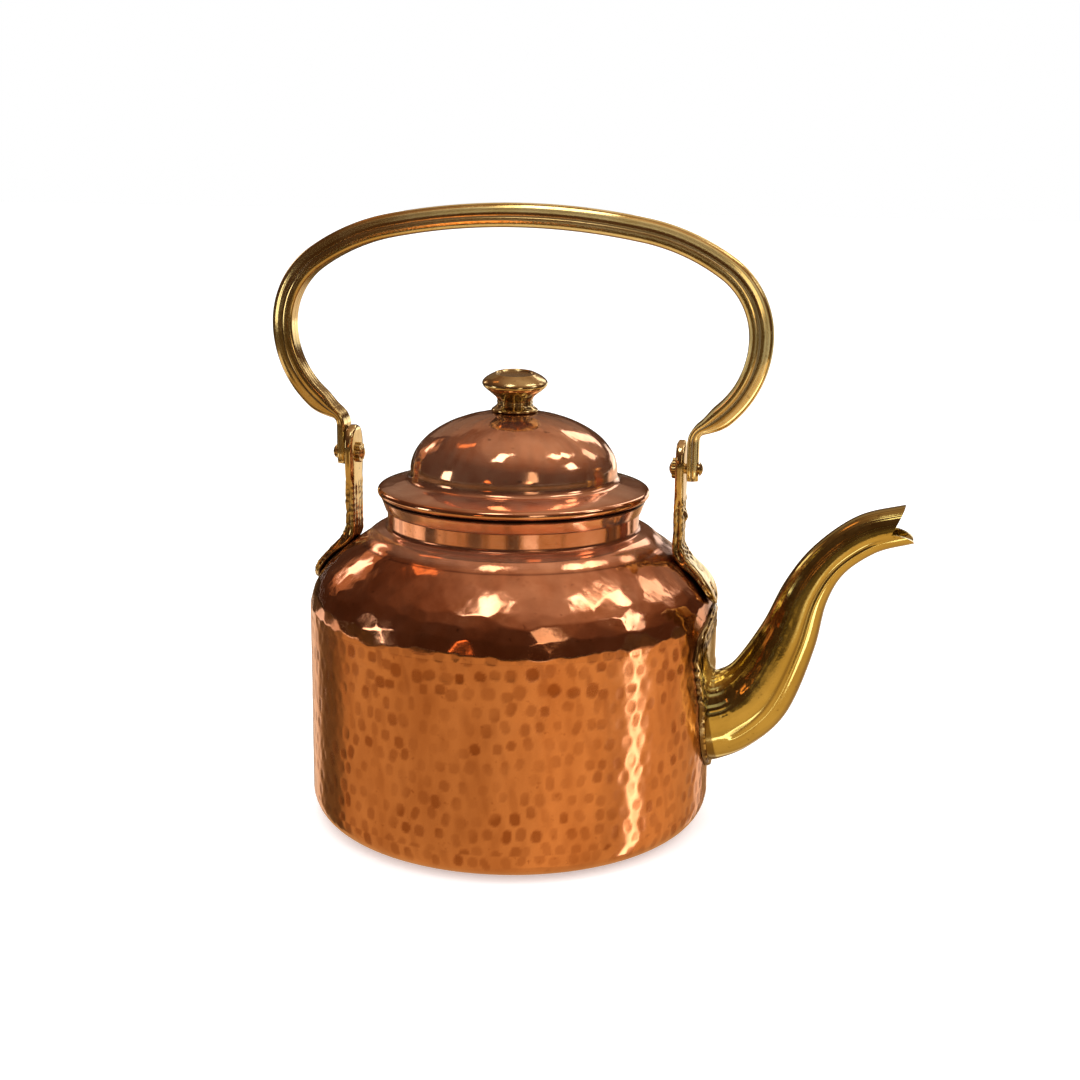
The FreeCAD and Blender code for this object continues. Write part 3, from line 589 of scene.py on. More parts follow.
# Planished facets of the shoulder
FACET_SEED = 11
FACET_SPACING = 5.8
FACET_TILT = 0.014
FACET_JITTER = 0.16
FACET_HARDNESS = 40.0
FACET_START = 4.6
FACET_PROBE = 0.3
NEAR_FACETS = 7
POINTS_AT_ONCE = 8000
SHOULDER_SINK = 0.12
SHOULDER_CRINKLE = 0.009
MOULDING_HEIGHT = 0.6
MOULDING_START = 9.5


def planish(points, normals, centres, facings):
    """Shifts to the flat facets that a hammer leaves: a soft least height over nearby planes."""
    flat, facing = points.reshape(-1, 3), normals.reshape(-1, 3)
    shift = np.zeros(len(flat))
    for start in range(0, len(flat), POINTS_AT_ONCE):
        block = slice(start, start + POINTS_AT_ONCE)
        p, n = flat[block], facing[block]
        gap = ((p[:, None] - centres[None]) ** 2).sum(-1)
        near = np.argpartition(gap, NEAR_FACETS, axis=1)[:, :NEAR_FACETS]
        c, f = centres[near], facings[near]
        rise = ((c - p[:, None]) * f).sum(-1) / np.maximum((n[:, None] * f).sum(-1), 0.2)
        shift[block] = -np.log(np.exp(-FACET_HARDNESS * gentle(rise, 2)).sum(1)) / FACET_HARDNESS
    return shift.reshape(points.shape[:2])


def facets(profile, first, last):
    """Seeded facet centres and directions along a turned profile, between two lengths along it."""
    draw = np.random.default_rng(FACET_SEED)
    along = lengths(profile)
    centres, facings = [], []

    def at(place):
        return np.array([np.interp(place, along, profile[:, axis]) for axis in (0, 1)])

    count = max(2, int(round((last - first) / (FACET_SPACING * 0.87))))
    for line in range(count + 1):
        base = first + (last - first) * line / count
        number = max(3, int(round(2 * math.pi * at(base)[0] / FACET_SPACING)))
        for place in range(number):
            s = np.clip(base + draw.normal(0, FACET_SPACING * FACET_JITTER), along[0], along[-1])
            r, z = at(s)
            dr, dz = at(s + FACET_PROBE) - at(s - FACET_PROBE)
            angle = 2 * math.pi * (place + 0.5 * (line % 2)) / number
            angle += draw.normal(0, FACET_JITTER * FACET_SPACING / max(r, 1))
            out, up = dz / math.hypot(dr, dz), -dr / math.hypot(dr, dz)
            facing = np.array([out * math.cos(angle), out * math.sin(angle), up])
            facing = facing + draw.normal(0, FACET_TILT, 3)
            centre = np.array([r * math.cos(angle), r * math.sin(angle), z])
            centres.append(centre - facing * draw.uniform(0, 0.05))
            facings.append(facing / np.linalg.norm(facing))
    return np.array(centres), np.array(facings)


def foot_shade(points):
    """Painted shade on the shoulder round the ears' feet."""
    shade = np.zeros(points.shape[:2])
    for sign in (1, -1):
        beside = np.maximum(np.abs(points[..., 1]) - 7.0, 0)
        above = np.maximum(np.maximum(58.0 - sign * points[..., 0], sign * points[..., 0] - 74.0), 0)
        shade = np.maximum(shade, bell(beside, 0, 4.0) * bell(above, 0, 4.0))
    return shade


def neck_bands(around):
    """Painted dark reflection bands, upright round the polished neck."""
    return 0.4 * smooth(waves(around, 0.0, "neck_bands") - 0.45)


def shoulder_profile():
    start = 180.0 + CROWN_END
    return chain(
        seam=np.array([[BODY_RADIUS - 0.5, WALL_TOP]]),
        edge=arc_rows(EDGE_CENTRE, EDGE_RADIUS, 0.05, EDGE_TURN, 36),
        crown=arc_rows(CROWN_CENTRE, CROWN_RADIUS, EDGE_TURN, CROWN_END, 46),
        fillet=arc_rows(FILLET_CENTRE, NECK_FILLET, start, 180, 9),
        neck=line_rows((NECK_RADIUS, FILLET_CENTRE[1] + 0.3), (NECK_RADIUS, NECK_TOP - 0.1), 8),
        inner_neck=line_rows((NECK_BORE, NECK_TOP - 0.1), (NECK_BORE, FILLET_CENTRE[1]), 6),
        inner_fillet=arc_rows(FILLET_CENTRE, NECK_FILLET + SHEET, 180, start, 8),
        inner_crown=arc_rows(CROWN_CENTRE, CROWN_RADIUS - SHEET, CROWN_END, EDGE_TURN, 18),
        inner_edge=arc_rows(EDGE_CENTRE, EDGE_RADIUS - SHEET, EDGE_TURN, 0.4, 14),
    )


def shoulder_shift(profile, points, normals, along, around):
    """How far the facets and the moulding at the neck move the shoulder's skin outwards."""
    to_neck = (along[-1] - along)[:, None]
    centres, facings = facets(profile, FACET_START, along[-1] - 1.0)
    crinkle = SHOULDER_CRINKLE * waves(around[None, :], along[:, None], "shoulder_crinkle")
    shift = planish(points, normals, centres, facings) + crinkle - SHOULDER_SINK
    moulding = MOULDING_HEIGHT * step(to_neck, MOULDING_START, -5.0) * step(to_neck, 0, 3.0)
    return shift * step(to_neck, 5.0, 5.0) + moulding


def make_shoulder():
    profile, runs = shoulder_profile()
    points = revolve(profile, BODY_COLUMNS)
    normals = profile_normals(profile, BODY_COLUMNS)
    outer = rows_of(runs, "edge", "crown")
    normals[outer[0]] = normals[outer[1]]
    skin, facing, height = points[outer], normals[outer], profile[outer, 1]
    along = lengths(profile[outer])
    around = ring_lengths(BODY_COLUMNS)
    shift = shoulder_shift(profile[outer], skin, facing, along, around)
    sink, dark = wall_skin(around, height)
    out = np.maximum(np.hypot(facing[..., 0], facing[..., 1]), 0.3)
    to_wall = (BODY_RADIUS - sink - np.hypot(skin[..., 0], skin[..., 1])) / out
    points[outer] += facing * np.minimum(shift, to_wall)[..., None]

    past_wall = shift - to_wall
    low = step(height, 86.0, -1.0)[:, None]
    band = low * smooth(past_wall / 0.04 + 0.5)
    # Painted shade along the seam where the shoulder meets the wall.
    painted_crease_shade = bell(past_wall, 0, 0.03) * low * step(height, 78.6, 0.6)[:, None]
    mottle = waves(around[None, :], along[:, None], "shoulder_mottle")
    to_neck = (along[-1] - along)[:, None]
    # Random mottle, and a ring of painted shade at the foot of the moulding by the neck.
    stain_and_shade = 0.2 * smooth(mottle * 0.5 + 0.3) + 0.7 * bell(to_neck, 9.8, 0.45)
    patina_and_shade, tint, worn = np.zeros((3,) + points.shape[:2])
    # Painted shade: the wall's painted mark shade where the shoulder is held to the wall, the seam shade,
    # and painted shade round the ears' feet.
    patina_and_shade[outer] = stain_and_shade * (1 - band) + 0.45 * dark * band + 0.5 * painted_crease_shade
    patina_and_shade[outer] = np.maximum(patina_and_shade[outer], 0.75 * foot_shade(points[outer]))
    # Painted shade in the fillet at the neck's foot, and painted reflection bands on the neck.
    patina_and_shade[runs == "fillet"], patina_and_shade[runs == "neck"] = 0.6, neck_bands(around)
    tint[outer], tint[runs == "seam"] = band, 1.0
    worn[outer] = 0.8 * step(to_neck, 9.0, -3.0)
    worn[rows_of(runs, "fillet", "neck")] = 0.3
    add_grid("kettle_shoulder", points, "pot", ["shoulder"], ("shoulder", "tin"),
             {"patina_and_shade": np.clip(patina_and_shade, 0, 1), "tint": tint, "worn": worn}, runs=runs, ring=True)


def make_neck_rim():
    ledge = NECK_RADIUS + RIM_LEDGE
    lip = ledge + RIM_FLARE
    profile, runs = chain(
        foot=line_rows((NECK_BORE, NECK_TOP + 0.02), (ledge - 0.2, NECK_TOP + 0.02), 4),
        band=line_rows((ledge, NECK_TOP + 0.2), (lip - 0.12, RIM_TOP - 0.9), 14),
        lip=arc_rows((lip - 0.5, RIM_TOP - 0.5), 0.5, -20, 90, 8),
        top=line_rows((lip - 0.6, RIM_TOP), (NECK_BORE + 0.3, RIM_TOP), 5),
        inner_bore=line_rows((NECK_BORE, RIM_TOP - 0.3), (NECK_BORE, NECK_TOP + 0.3), 8),
    )
    points = revolve(profile, RIM_COLUMNS)
    normals = profile_normals(profile, RIM_COLUMNS)
    around = ring_lengths(RIM_COLUMNS)
    band = rows_of(runs, "band")
    height = profile[band, 1][:, None]
    ripple = waves(around[None, :], height, "rim")
    points[band] -= normals[band] * (0.03 + 0.02 * gentle(ripple))[..., None]
    patina_and_shade = np.zeros(points.shape[:2])
    # Painted shade at the band's foot and painted reflection bands; the lip and top under the lid's bead are
    # fully painted shade.
    patina_and_shade[band] = np.maximum(0.6 * step(height, NECK_TOP + 1.0, -1.0), 0.6 * neck_bands(around)[None, :])
    patina_and_shade[rows_of(runs, "lip", "top")] = 1.0
    add_grid("neck_rim_band", points, "pot", ["neck_rim"], ("lid", "tin"),
             {"patina_and_shade": patina_and_shade, "worn": np.full(points.shape[:2], 0.6)}, runs=runs, ring=True)


def flange_height(radius):
    """Height of the lid's sloping flange over a radius."""
    turn = math.radians(90.0 - FLANGE_SLOPE)
    contact = BEAD_CENTRE + BEAD_RADIUS * np.array([math.cos(turn), math.sin(turn)])
    return contact[1] + (contact[0] - radius) * math.tan(math.radians(FLANGE_SLOPE))


HOLLOW_CENTRE = np.array([
    DOME_RADIUS + DOME_FILLET,
    flange_height(DOME_RADIUS + DOME_FILLET) + DOME_FILLET / math.cos(math.radians(FLANGE_SLOPE)),
])
DOME_BASE = HOLLOW_CENTRE[1] + 1.0
DOME_TOP = DOME_BASE + DOME_RISE


def dome_rows(offset, count):
    """The dome's outline from its side to its top."""
    turn = np.linspace(0, np.pi / 2, count)
    radius, rise = DOME_RADIUS + offset, DOME_RISE + offset
    return np.stack([radius * np.cos(turn), DOME_BASE + rise * np.sin(turn)], -1)


def lid_profile():
    normal = 90.0 - FLANGE_SLOPE
    hollow_end = 270.0 - FLANGE_SLOPE
    roll_end = 170.0 - 360.0
    flange_end = arc_rows(HOLLOW_CENTRE, DOME_FILLET, hollow_end, hollow_end, 1)[0]
    return chain(
        inner_dome=dome_rows(-LID_SHEET, 30)[::-1],
        inner_fillet=arc_rows(HOLLOW_CENTRE, DOME_FILLET + LID_SHEET, 180, hollow_end, 8),
        inner_roll=arc_rows(BEAD_CENTRE, BEAD_RADIUS - LID_SHEET, normal, roll_end, 20),
        bead=arc_rows(BEAD_CENTRE, BEAD_RADIUS, roll_end, normal, 28),
        flange=line_rows((FLANGE_EDGE, flange_height(FLANGE_EDGE)), flange_end, 10),
        fillet=arc_rows(HOLLOW_CENTRE, DOME_FILLET, hollow_end, 180, 12),
        dome=dome_rows(0, 76),
    )


def make_lid():
    profile, runs = lid_profile()
    points = revolve(profile, LID_COLUMNS)
    normals = profile_normals(profile, LID_COLUMNS)
    dome, flange = rows_of(runs, "dome"), rows_of(runs, "flange")
    around = ring_lengths(LID_COLUMNS)[None, :]
    along = lengths(profile[dome])[:, None]
    to_top = along[-1] - along
    swell = waves(around, along * 1.6, "dome")
    beaten = waves(around, along * 1.6, "dome_beaten")
    fade = step(along, 0, 4.0) * step(to_top, 0, 12.0)
    sink = 0.1 + 0.05 * gentle(swell) + 0.01 * gentle(beaten, 2)
    points[dome] -= normals[dome] * (fade * sink)[..., None]
    ripple = waves(around, profile[flange, 0][:, None] * 2, "flange")
    points[flange] -= normals[flange] * (0.03 + 0.02 * gentle(ripple))[..., None]

    patina_and_shade, worn = np.zeros((2,) + points.shape[:2])
    mottle = waves(around, along, "dome_mottle")
    # Painted shade in the fillet and under the bead, random mottle, and painted shade on the dome's top.
    patina_and_shade[runs == "fillet"] = 0.25
    patina_and_shade[(runs == "bead") & (profile[:, 1] < BEAD_CENTRE[1] - 0.6 * BEAD_RADIUS)] = 1.0
    top_shade = 0.5 * step(to_top, 11.5, -3.0) + 0.12 * step(to_top, 24.0, -10.0)
    patina_and_shade[dome] = 0.1 * smooth(mottle * 0.5 + 0.3) + top_shade
    worn[flange] = 0.8 + 0.2 * gentle(ripple, 1)
    worn[runs == "fillet"] = 0.4
    worn[dome] = 0.1 + (0.3 + 0.1 * gentle(mottle)) * step(to_top, 10.0, 10.0)
    add_grid("kettle_lid", points, "lid", ["lid_shell"], ("lid", "tin"),
             {"patina_and_shade": patina_and_shade, "worn": worn}, runs=runs)


def through(stations, share):
    """Smooth values through rows of stations, by cubic pieces over their numbers."""
    rows = np.asarray(stations, float)
    share = np.clip(np.asarray(share, float), 0, len(rows) - 1 - 1e-9)
    index = share.astype(int)
    t = (share - index)[..., None]
    padded = np.concatenate([[2 * rows[0] - rows[1]], rows, [2 * rows[-1] - rows[-2]]])
    a, b, c, d = (padded[index + number] for number in range(4))
    bend = (2 * a - 5 * b + 4 * c - d) * t ** 2 + (3 * b - a - 3 * c + d) * t ** 3
    return 0.5 * (2 * b + (c - a) * t + bend)


# The spout: x, z, heading in degrees, half height, half width
SPOUT_STATIONS = (
    (66.0, 40.0, 4.0, 17.2, 14.4),
    (76.4, 41.4, 10.0, 16.6, 14.0),
    (84.6, 44.9, 28.0, 15.0, 12.9),
    (93.7, 53.9, 51.0, 13.3, 11.4),
    (102.5, 73.2, 68.0, 10.5, 9.6),
    (108.0, 90.3, 68.0, 8.4, 8.3),
    (115.7, 102.8, 51.0, 7.3, 7.4),
    (128.0, 112.6, 27.0, 7.3, 7.0),
    (141.0, 116.8, 14.0, 7.0, 7.4),
    (150.0, 118.6, 10.0, 6.8, 7.6),
)
SPOUT_WALL = 1.4
SPOUT_ROWS = 170
SPOUT_COLUMNS = 288
BEAK_UPPER = (140.6, 123.3)
BEAK_NOTCH = (136.1, 113.7)
BEAK_LOWER = (144.45, 111.2)
LIP_BULGE = 1.4
PLATE_FACE = BODY_RADIUS + 1.7
# Angles of the spout's lower ridge and of the groove above it, from its upper side
RIDGE_ANGLE = 2.08
GROOVE_ANGLE = 1.93


def spout_point(share, angle, wall):
    """A point of the spout's skin at a place along it and an angle from its upper side."""
    x, z, heading, half_height, half_width = np.moveaxis(through(SPOUT_STATIONS, share), -1, 0)
    turn = np.radians(heading)
    across, above = np.sin(angle), np.cos(angle)
    power = SPOUT_SQUARENESS
    reach = (np.abs(across) ** power + np.abs(above) ** power) ** (-1 / power)
    lift = (half_height - wall) * above * reach
    side = (half_width - wall) * across * reach
    return np.stack([x - np.sin(turn) * lift, side, z + np.cos(turn) * lift], -1)


def beyond_beak(points):
    """True where the open beak has been cut away."""
    x, z = points[..., 0], points[..., 2]
    slope = (BEAK_UPPER[0] - BEAK_NOTCH[0]) / (BEAK_UPPER[1] - BEAK_NOTCH[1])
    span = BEAK_LOWER[0] - BEAK_NOTCH[0]
    fall = (BEAK_LOWER[1] - BEAK_NOTCH[1]) / span
    share = np.clip((x - BEAK_NOTCH[0]) / span, 0, 1)
    lip = BEAK_NOTCH[1] + fall * (x - BEAK_NOTCH[0]) + LIP_BULGE * np.sqrt(4 * share * (1 - share))
    in_notch = (x > BEAK_NOTCH[0] + slope * (z - BEAK_NOTCH[1])) & (z > lip)
    return in_notch | (x > BEAK_LOWER[0])


def spout_skin(angles, wall, rows, start_radius):
    """One skin of the spout from the plate to the beak, each line cut to its own length."""
    fine = np.linspace(0, len(SPOUT_STATIONS) - 1, 2400)
    lines, shares = [], []
    for angle in angles:
        line = spout_point(fine, np.full_like(fine, angle), wall)
        start = fine[np.argmax(np.hypot(line[:, 0], line[:, 1]) > start_radius)]
        end = fine[np.argmax(beyond_beak(line))]
        share = start + (end - start) * np.linspace(0, 1, rows)
        shares.append(share)
        lines.append(spout_point(share, np.full_like(share, angle), wall))
    return np.stack(lines, 1), np.stack(shares, 1)


def skin_normals(skin):
    """Outward normals of a tube's rows of points."""
    normal = np.cross(np.gradient(skin, axis=0), np.gradient(skin, axis=1))
    normal /= np.maximum(np.linalg.norm(normal, axis=-1, keepdims=True), 1e-9)
    outward = skin - skin.mean(axis=1, keepdims=True)
    return normal * np.sign((normal * outward).sum(-1, keepdims=True))


def spout_marks(share, side):
    """The spout's swell, dents and reeds over places along it and angles from its upper side."""
    lump = waves(share * 22, side * 14, "spout")
    dents = gentle(waves(share * 22, side * 14, "spout_dents"))
    reeds = np.sin(31 * side + 1.0) + np.sin(47 * side + 0.6 * lump)
    reeds = reeds * step(side, 0.2, 0.2) * step(side, 1.6, -0.3)
    ridged = step(share, 1.3, 0.8) * step(share, 7.6, -0.8)
    return SimpleNamespace(lump=lump, dents=dents, reeds=reeds, ridged=ridged)


def spout_relief(share, side, marks):
    """How far dents, reeds and the lower ridge move the spout's skin outwards."""
    ridge = bell(side, RIDGE_ANGLE, 0.045) - 0.6 * bell(side, GROOVE_ANGLE, 0.07)
    flank = bell(side, 0.95, 0.45) * step(share, 0.9, 0.6) * step(share, 5.2, -1.2)
    reed_height = (0.012 + 0.035 * step(share, 2.4, -1.0)) * step(share, 0.95, 0.3)
    relief = flank * (0.05 * marks.dents - 0.05) + reed_height * (marks.reeds - 2.0)
    return relief + marks.ridged * 0.3 * ridge - 0.04 + 0.02 * gentle(marks.lump)


def spout_patina_and_shade(share, side, marks):
    """Painted shade and painted reflection on the spout: its darker upper side and flank, the creases
    between reeds, the groove over the ridge, its root and its underside.
    """
    upper = step(np.cos(side), 0.35, 0.5)
    above = 0.25 * upper * step(share, 1.0, 1.2) * step(share, 6.4, -1.5)
    shade = 0.55 * bell(side, 1.0, 0.3) * step(share, 0.9, 0.8)
    ends = np.maximum(step(share, 2.0, -0.5), 0.7 * step(share, 2.6, 0.8))
    return np.maximum.reduce(np.broadcast_arrays(
        above * (0.6 + 0.4 * gentle(marks.lump, 1)),
        shade * (0.75 + 0.25 * gentle(marks.dents, 1)),
        0.75 * smooth(marks.reeds * 0.9 - 0.25) * step(side, 1.5, -0.2) * ends,
        0.6 * bell(side, GROOVE_ANGLE, 0.05) * marks.ridged,
        0.8 * step(share, 1.06, -0.05),
        0.7 * step(side, 2.4, 0.35),
    ))


def make_spout():
    rows = SPOUT_ROWS
    angles = -np.linspace(0, 2 * np.pi, SPOUT_COLUMNS, endpoint=False)
    outer, share = spout_skin(angles, 0.0, rows, PLATE_FACE)
    inner, _ = spout_skin(angles, SPOUT_WALL, rows // 2, BODY_RADIUS - SHEET)
    side = np.minimum(np.abs(angles), 2 * np.pi - np.abs(angles))[None, :]
    marks = spout_marks(share, side)
    outer += skin_normals(outer) * spout_relief(share, side, marks)[..., None]
    lip = (outer[-1] + inner[-1]) / 2
    points = np.concatenate([outer, lip[None], inner[::-1]])
    patina_and_shade, worn = np.zeros((2,) + points.shape[:2])
    patina_and_shade[:rows] = spout_patina_and_shade(share, side, marks)
    # Painted shade inside the spout, darker further in from the beak.
    patina_and_shade[rows + 1:] = 0.15 + 0.7 * step(np.linspace(1, 0, rows // 2), 0.95, -0.15)[:, None]
    worn[:rows] = smooth(-0.9 * marks.reeds - 0.2) * step(side, 1.4, -0.3) * step(share, 2.3, -0.7)
    add_grid("swan_neck_spout", points, "pot", ["spout"], ("spout",),
             {"patina_and_shade": np.clip(patina_and_shade, 0, 1), "worn": worn}, ring=True)


PLATE_CENTRE = np.array([0.0, 45.0])
PLATE_ROWS = 26
PLATE_COLUMNS = 240
PLATE_SCALLOPS = 5
PLATE_LOW_HALF = 17.0
PLATE_HIGH_HALF = 24.0
PLATE_LOW_Z = 50.0
PLATE_HIGH_Z = 69.5


def plate_outline():
    """The spout plate's outline in the YZ plane, right side from the bottom up, then mirrored."""
    quarter = np.linspace(0, np.pi / 2, 24)
    right = [(PLATE_LOW_HALF * math.sin(t), PLATE_LOW_Z - 28.5 * math.cos(t)) for t in quarter]
    for scallop in range(PLATE_SCALLOPS):
        for t in np.linspace(0, np.pi, 9)[1:]:
            share = (scallop + t / np.pi) / PLATE_SCALLOPS
            half = PLATE_LOW_HALF + (PLATE_HIGH_HALF - PLATE_LOW_HALF) * share + 1.3 * math.sin(t)
            right.append((half, PLATE_LOW_Z + (PLATE_HIGH_Z - PLATE_LOW_Z) * share))
    right += [(PLATE_HIGH_HALF * math.cos(t), PLATE_HIGH_Z + 13.0 * math.sin(t)) for t in quarter[1:]]
    return np.array(right + [(-y, z) for y, z in right[-2:0:-1]])


def on_wall(place, offset):
    """A point over the wall or shoulder on the spout's side, at an offset from its surface."""
    y, z = place[..., 0], place[..., 1]
    rise = np.maximum(z - EDGE_CENTRE[1], 0)
    edge = EDGE_CENTRE[0] + np.sqrt(np.maximum((EDGE_RADIUS + offset) ** 2 - rise ** 2, 1))
    radius = np.where(z > EDGE_CENTRE[1], edge, BODY_RADIUS + offset)
    return np.stack([np.sqrt(np.maximum(radius ** 2 - y ** 2, 1)), y, z], -1)


def plate_reach(turns, direction):
    """How far the plate starts and ends from its centre in each direction."""
    outline = plate_outline() - PLATE_CENTRE
    angle = np.unwrap(np.arctan2(outline[:, 0], -outline[:, 1]))
    reach = np.hypot(*outline.T)
    far = np.interp(turns, np.append(angle, angle[0] + 2 * np.pi), np.append(reach, reach[0]))
    fine = np.linspace(0, 24, 600)
    place = PLATE_CENTRE + fine[:, None, None] * direction[None]
    near = fine[np.argmax(passage_reach(place[..., 0], place[..., 1]) > 1, axis=0)]
    return near, far


def make_spout_plate():
    rows = PLATE_ROWS
    turns = np.linspace(0, 2 * np.pi, PLATE_COLUMNS, endpoint=False)
    direction = np.stack([np.sin(turns), -np.cos(turns)], -1)
    near, far = plate_reach(turns, direction)
    distance = near + np.linspace(0, 1, rows)[:, None] * (far - near - 0.5)
    edge_gap = far - distance
    bead = (0.6 + 0.4 * np.cos(turns * 34 + 2.0 * np.sin(turns * 5))) * bell(edge_gap, 1.6, 0.9)
    crumple = gentle(waves(turns[None, :] * BODY_RADIUS, edge_gap * 3, "plate"))
    border = step(edge_gap, 9.5, -3.0)
    height = 1.25 + 0.2 * crumple * border + 0.35 * step(distance - near - 1.6, 5.0, -2.0) + 0.4 * bead
    front = on_wall(PLATE_CENTRE + distance[..., None] * direction, 0.05 + np.clip(height, 0.5, 1.6))
    brim = PLATE_CENTRE + far[:, None] * direction
    root = PLATE_CENTRE + near[:, None] * direction
    side, foot, back = on_wall(brim, 0.75), on_wall(brim, 0.05), on_wall(root, 0.05)
    points = np.concatenate([front, side[None], foot[None], back[None]])
    # Painted shade on the plate's edges and at the spout's root, and painted shade and patina in the dents
    # of its border.
    patina_and_shade = np.full(points.shape[:2], 0.8)
    root_shade = 0.8 * step(distance - near, 1.2, -1.2)
    patina_and_shade[:rows] = np.maximum(border * smooth(0.7 - 0.8 * crumple - bead), root_shade)
    add_grid("spout_wall_plate", points[::-1], "pot", ["spout_plate"], ("cast",),
             {"patina_and_shade": np.clip(patina_and_shade[::-1], 0, 1)}, ring=True)


# The foot of each ear's bracket: turn on the shoulder, half width, half depth
FOOT_STATIONS = (
    (14.0, 0.6, 0.5), (17.5, 3.4, 1.0), (22.0, 6.2, 1.35), (28.0, 8.4, 1.55),
    (35.0, 9.3, 1.6), (42.0, 8.9, 1.65), (47.0, 7.9, 1.8), (50.5, 6.9, 2.0),
)
# Its post and ear: x, z, half width, half depth
POST_STATIONS = (
    (62.3, 102.4, 6.2, 2.3), (61.6, 105.5, 5.9, 1.9), (61.6, 109.0, 5.8, 1.8), (61.6, 112.5, 5.8, 1.8),
    (61.6, 116.0, 5.9, 1.8), (61.6, 119.5, 6.0, 1.8), (61.6, 123.0, 6.5, 1.8), (61.6, 127.0, 7.2, 1.8),
    (61.6, 131.5, 7.5, 1.8), (61.6, 136.0, 7.5, 1.8), (61.6, 139.4, 6.5, 1.8), (61.6, 142.0, 4.2, 1.7),
    (61.6, 143.4, 0.9, 1.0),
)
FOOT_OFFSET = 1.6
KNOT_Z = 115.5
BRACKET_ROWS = 190
BRACKET_COLUMNS = 64


def bracket_stations():
    """Places, half widths and half depths along a bracket from its leaf tip to its ear's top."""
    stations = []
    for turn, half_width, half_depth in FOOT_STATIONS:
        on_edge = turn <= EDGE_TURN
        centre, radius = (EDGE_CENTRE, EDGE_RADIUS) if on_edge else (CROWN_CENTRE, CROWN_RADIUS)
        place = arc_rows(centre, radius + FOOT_OFFSET, turn, turn, 1)[0]
        stations.append((place[0], place[1], half_width, half_depth))
    return stations + list(POST_STATIONS)


def bracket_form(sign):
    """A bracket's centre line and section, and where its leaf, post, furrows and knot lie."""
    stations = bracket_stations()
    share = np.linspace(0, len(stations) - 1, BRACKET_ROWS)
    x, z, half_width, half_depth = np.moveaxis(through(stations, share)[:, None], -1, 0)
    share = share[:, None]
    slope = np.gradient(np.concatenate([x, z], -1), axis=0)
    slope /= np.maximum(np.hypot(*slope.T), 1e-9)[:, None]
    angle = ring_angles(BRACKET_COLUMNS)
    leaf = step(share, 0, 1.2) * step(share, 7.4, -1.5)
    post = step(share, 6.2, 1.2) * step(share, 14.2, -1.0)
    power = 4.0 + 5.0 * post
    reach = (np.abs(np.cos(angle)) ** power + np.abs(np.sin(angle)) ** power) ** (-1 / power)
    across = half_width * np.cos(angle) * reach
    width_share = np.abs(across) / np.maximum(half_width, 0.1)
    groove = bell(width_share, 0.52, 0.1) + 0.8 * bell(width_share, 0, 0.09)
    knot = bell(z, KNOT_Z, 1.9) * bell(across, 0, 3.2)
    return SimpleNamespace(
        share=share, x=x, z=z, angle=angle, leaf=leaf, post=post, across=across, width_share=width_share,
        out_x=slope[:, 1:], out_z=-slope[:, :1], above=half_depth * np.sin(angle) * reach,
        front=smooth(np.sin(angle) * reach * 1.5), back=smooth(-np.sin(angle) * reach * 1.5),
        edge=bell(np.sin(angle), 0, 0.22) * np.maximum(leaf, post),
        pit=bell(share, 2.0, 0.6) * bell(width_share, 0, 0.3), knot=knot,
        furrow=post * np.clip(groove, 0, 1) * (1 - knot),
        crumple=gentle(waves(share * 13, across * 2, "bracket", sign)),
        rough=(0.14 if sign < 0 else 0.02) * leaf + 0.16 * post,
    )


def bracket_patina_and_shade(form, across, sign):
    """Painted shade and patina in a bracket's pit and furrows, painted shade on its edges and under its
    leaf, and dark blotches on its post.
    """
    blotch = waves(form.share * 11, np.sin(form.angle) * 6 + across, "bracket_blotch", sign)
    patina_and_shade = form.front * (0.9 * form.pit + 0.8 * form.furrow) + form.back * 0.8 * form.furrow
    patina_and_shade = patina_and_shade + form.front * (10 * form.rough * form.leaf * smooth(-form.crumple))
    patina_and_shade = np.maximum(patina_and_shade, form.edge * (0.5 + 0.35 * form.crumple))
    patina_and_shade = np.maximum(patina_and_shade, 0.8 * form.back * form.leaf)
    below_ear = step(form.z, PIVOT_Z - 8.0, -4.0)
    return np.clip(np.maximum(patina_and_shade, 0.75 * form.post * smooth(0.8 * blotch + 0.1) * below_ear), 0, 1)


def make_bracket(name, sign, node):
    form = bracket_form(sign)
    relief = -0.35 * form.leaf * np.cos(np.clip(form.width_share, 0, 1) * np.pi / 2) ** 2
    relief = relief - 0.5 * form.pit - 0.4 * form.furrow + 1.3 * form.knot + form.rough * form.crumple
    behind = 0.4 * form.furrow + 0.07 * form.post * form.crumple
    above = form.above + form.front * relief + form.back * behind
    across = form.across * (1 - form.edge * (0.04 + 0.02 * form.crumple))
    points = np.stack([sign * (form.x + form.out_x * above), across, form.z + form.out_z * above], -1)
    patina_and_shade = bracket_patina_and_shade(form, across, sign)
    close_ends(points)
    if sign > 0:
        points, patina_and_shade = points[:, ::-1], patina_and_shade[:, ::-1]
    add_grid(name, points, "pot", [node], ("cast",), {"patina_and_shade": patina_and_shade})


def close_ends(points):
    """Draws the first and last rows of a tube to a point, so that its ends are shut."""
    points[0] = points[0].mean(axis=0)
    points[-1] = points[-1].mean(axis=0)


def heading(turn):
    """The direction in X and Z at a turn in degrees from straight up."""
    return np.array([math.sin(math.radians(turn)), math.cos(math.radians(turn))])


